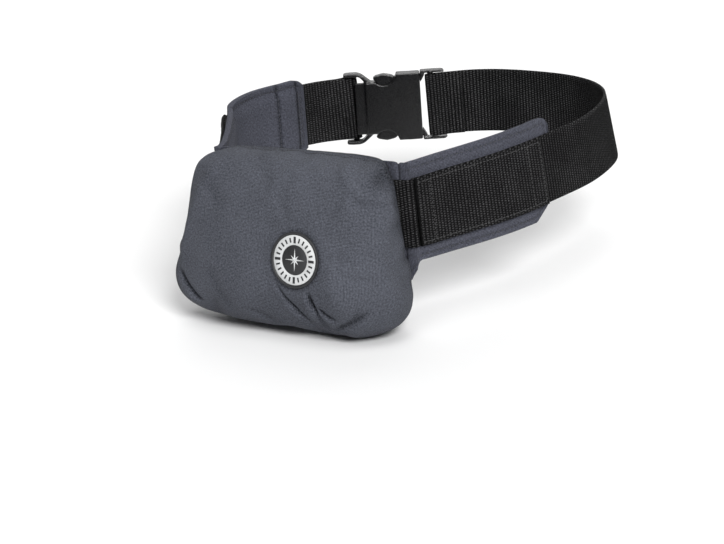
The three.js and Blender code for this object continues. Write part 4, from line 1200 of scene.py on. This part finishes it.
def studio_floor():
    bm = bmesh.new()
    bmesh.ops.create_grid(bm, x_segments=1, y_segments=1, size=FLOOR_HALF_SIZE)
    bmesh.ops.translate(bm, verts=bm.verts, vec=(0, 0, FLOOR_AT * MM))
    mesh = bpy.data.meshes.new("floor")
    bm.to_mesh(mesh)
    bm.free()
    f = Finish("pale_floor")
    colour = f.mix(f.noise(f.place(), *FLOOR_NOISE), *FLOOR_TONES)
    mesh.materials.append(f.dress(colour, FLOOR_ROUGHNESS, None))
    made = bpy.data.objects.new("floor", mesh)
    scene.collection.objects.link(made)


def soft_light(name, heading, height, softness, power):
    """A broad, even light."""
    light = bpy.data.lights.new(name, "SUN")
    light.angle = math.radians(softness)
    light.energy = power
    made = bpy.data.objects.new(name, light)
    source = heading_vector(math.radians(heading), math.radians(height))
    made.rotation_euler = source.to_track_quat("Z", "Y").to_euler()
    scene.collection.objects.link(made)


studio_floor()
for entry in LIGHTS:
    soft_light(*entry)
world = bpy.data.worlds.new("studio")
world.use_nodes = True
world.node_tree.nodes["Background"].inputs["Color"].default_value = (1, 1, 1, 1)
world.node_tree.nodes["Background"].inputs["Strength"].default_value = WORLD_STRENGTH
scene.world = world
scene.view_settings.view_transform = "Standard"
scene.view_settings.exposure = EXPOSURE

# The camera stands where the photograph's did: its heading, height and roll in degrees, and the
# point of the pack that falls on a known pixel
VIEW_HEADING, VIEW_HEIGHT, VIEW_ROLL = 34, 16, 5.5
VIEW_DISTANCE = 2.2
FOCAL_PIXELS = 2860
PHOTO_WIDTH, PHOTO_HEIGHT = 724, 544
AIM = Vector((7, -11, 0)) * MM
AIM_PIXEL = (415, 155)
SENSOR = 36
CLIP_END = 20


def photo_camera():
    heading, height, roll = (math.radians(a) for a in (VIEW_HEADING, VIEW_HEIGHT, VIEW_ROLL))
    back = heading_vector(heading, height)
    right = Vector((math.cos(heading), math.sin(heading), 0))
    up = back.cross(right)
    rolled_right = right * math.cos(roll) - up * math.sin(roll)
    rolled_up = right * math.sin(roll) + up * math.cos(roll)
    turn = Matrix((rolled_right, rolled_up, back)).transposed()
    aside, above = AIM_PIXEL[0] - PHOTO_WIDTH / 2, PHOTO_HEIGHT / 2 - AIM_PIXEL[1]
    sight = Vector((aside, above, -FOCAL_PIXELS)).normalized()
    turn = turn @ sight.rotation_difference(Vector((0, 0, -1))).to_matrix()
    camera = bpy.data.cameras.new("camera")
    camera.sensor_width = SENSOR
    camera.lens = FOCAL_PIXELS / PHOTO_WIDTH * SENSOR
    camera.clip_end = CLIP_END
    made = bpy.data.objects.new("camera", camera)
    made.matrix_world = Matrix.Translation(AIM + back * VIEW_DISTANCE) @ turn.to_4x4()
    scene.collection.objects.link(made)
    scene.camera = made


photo_camera()
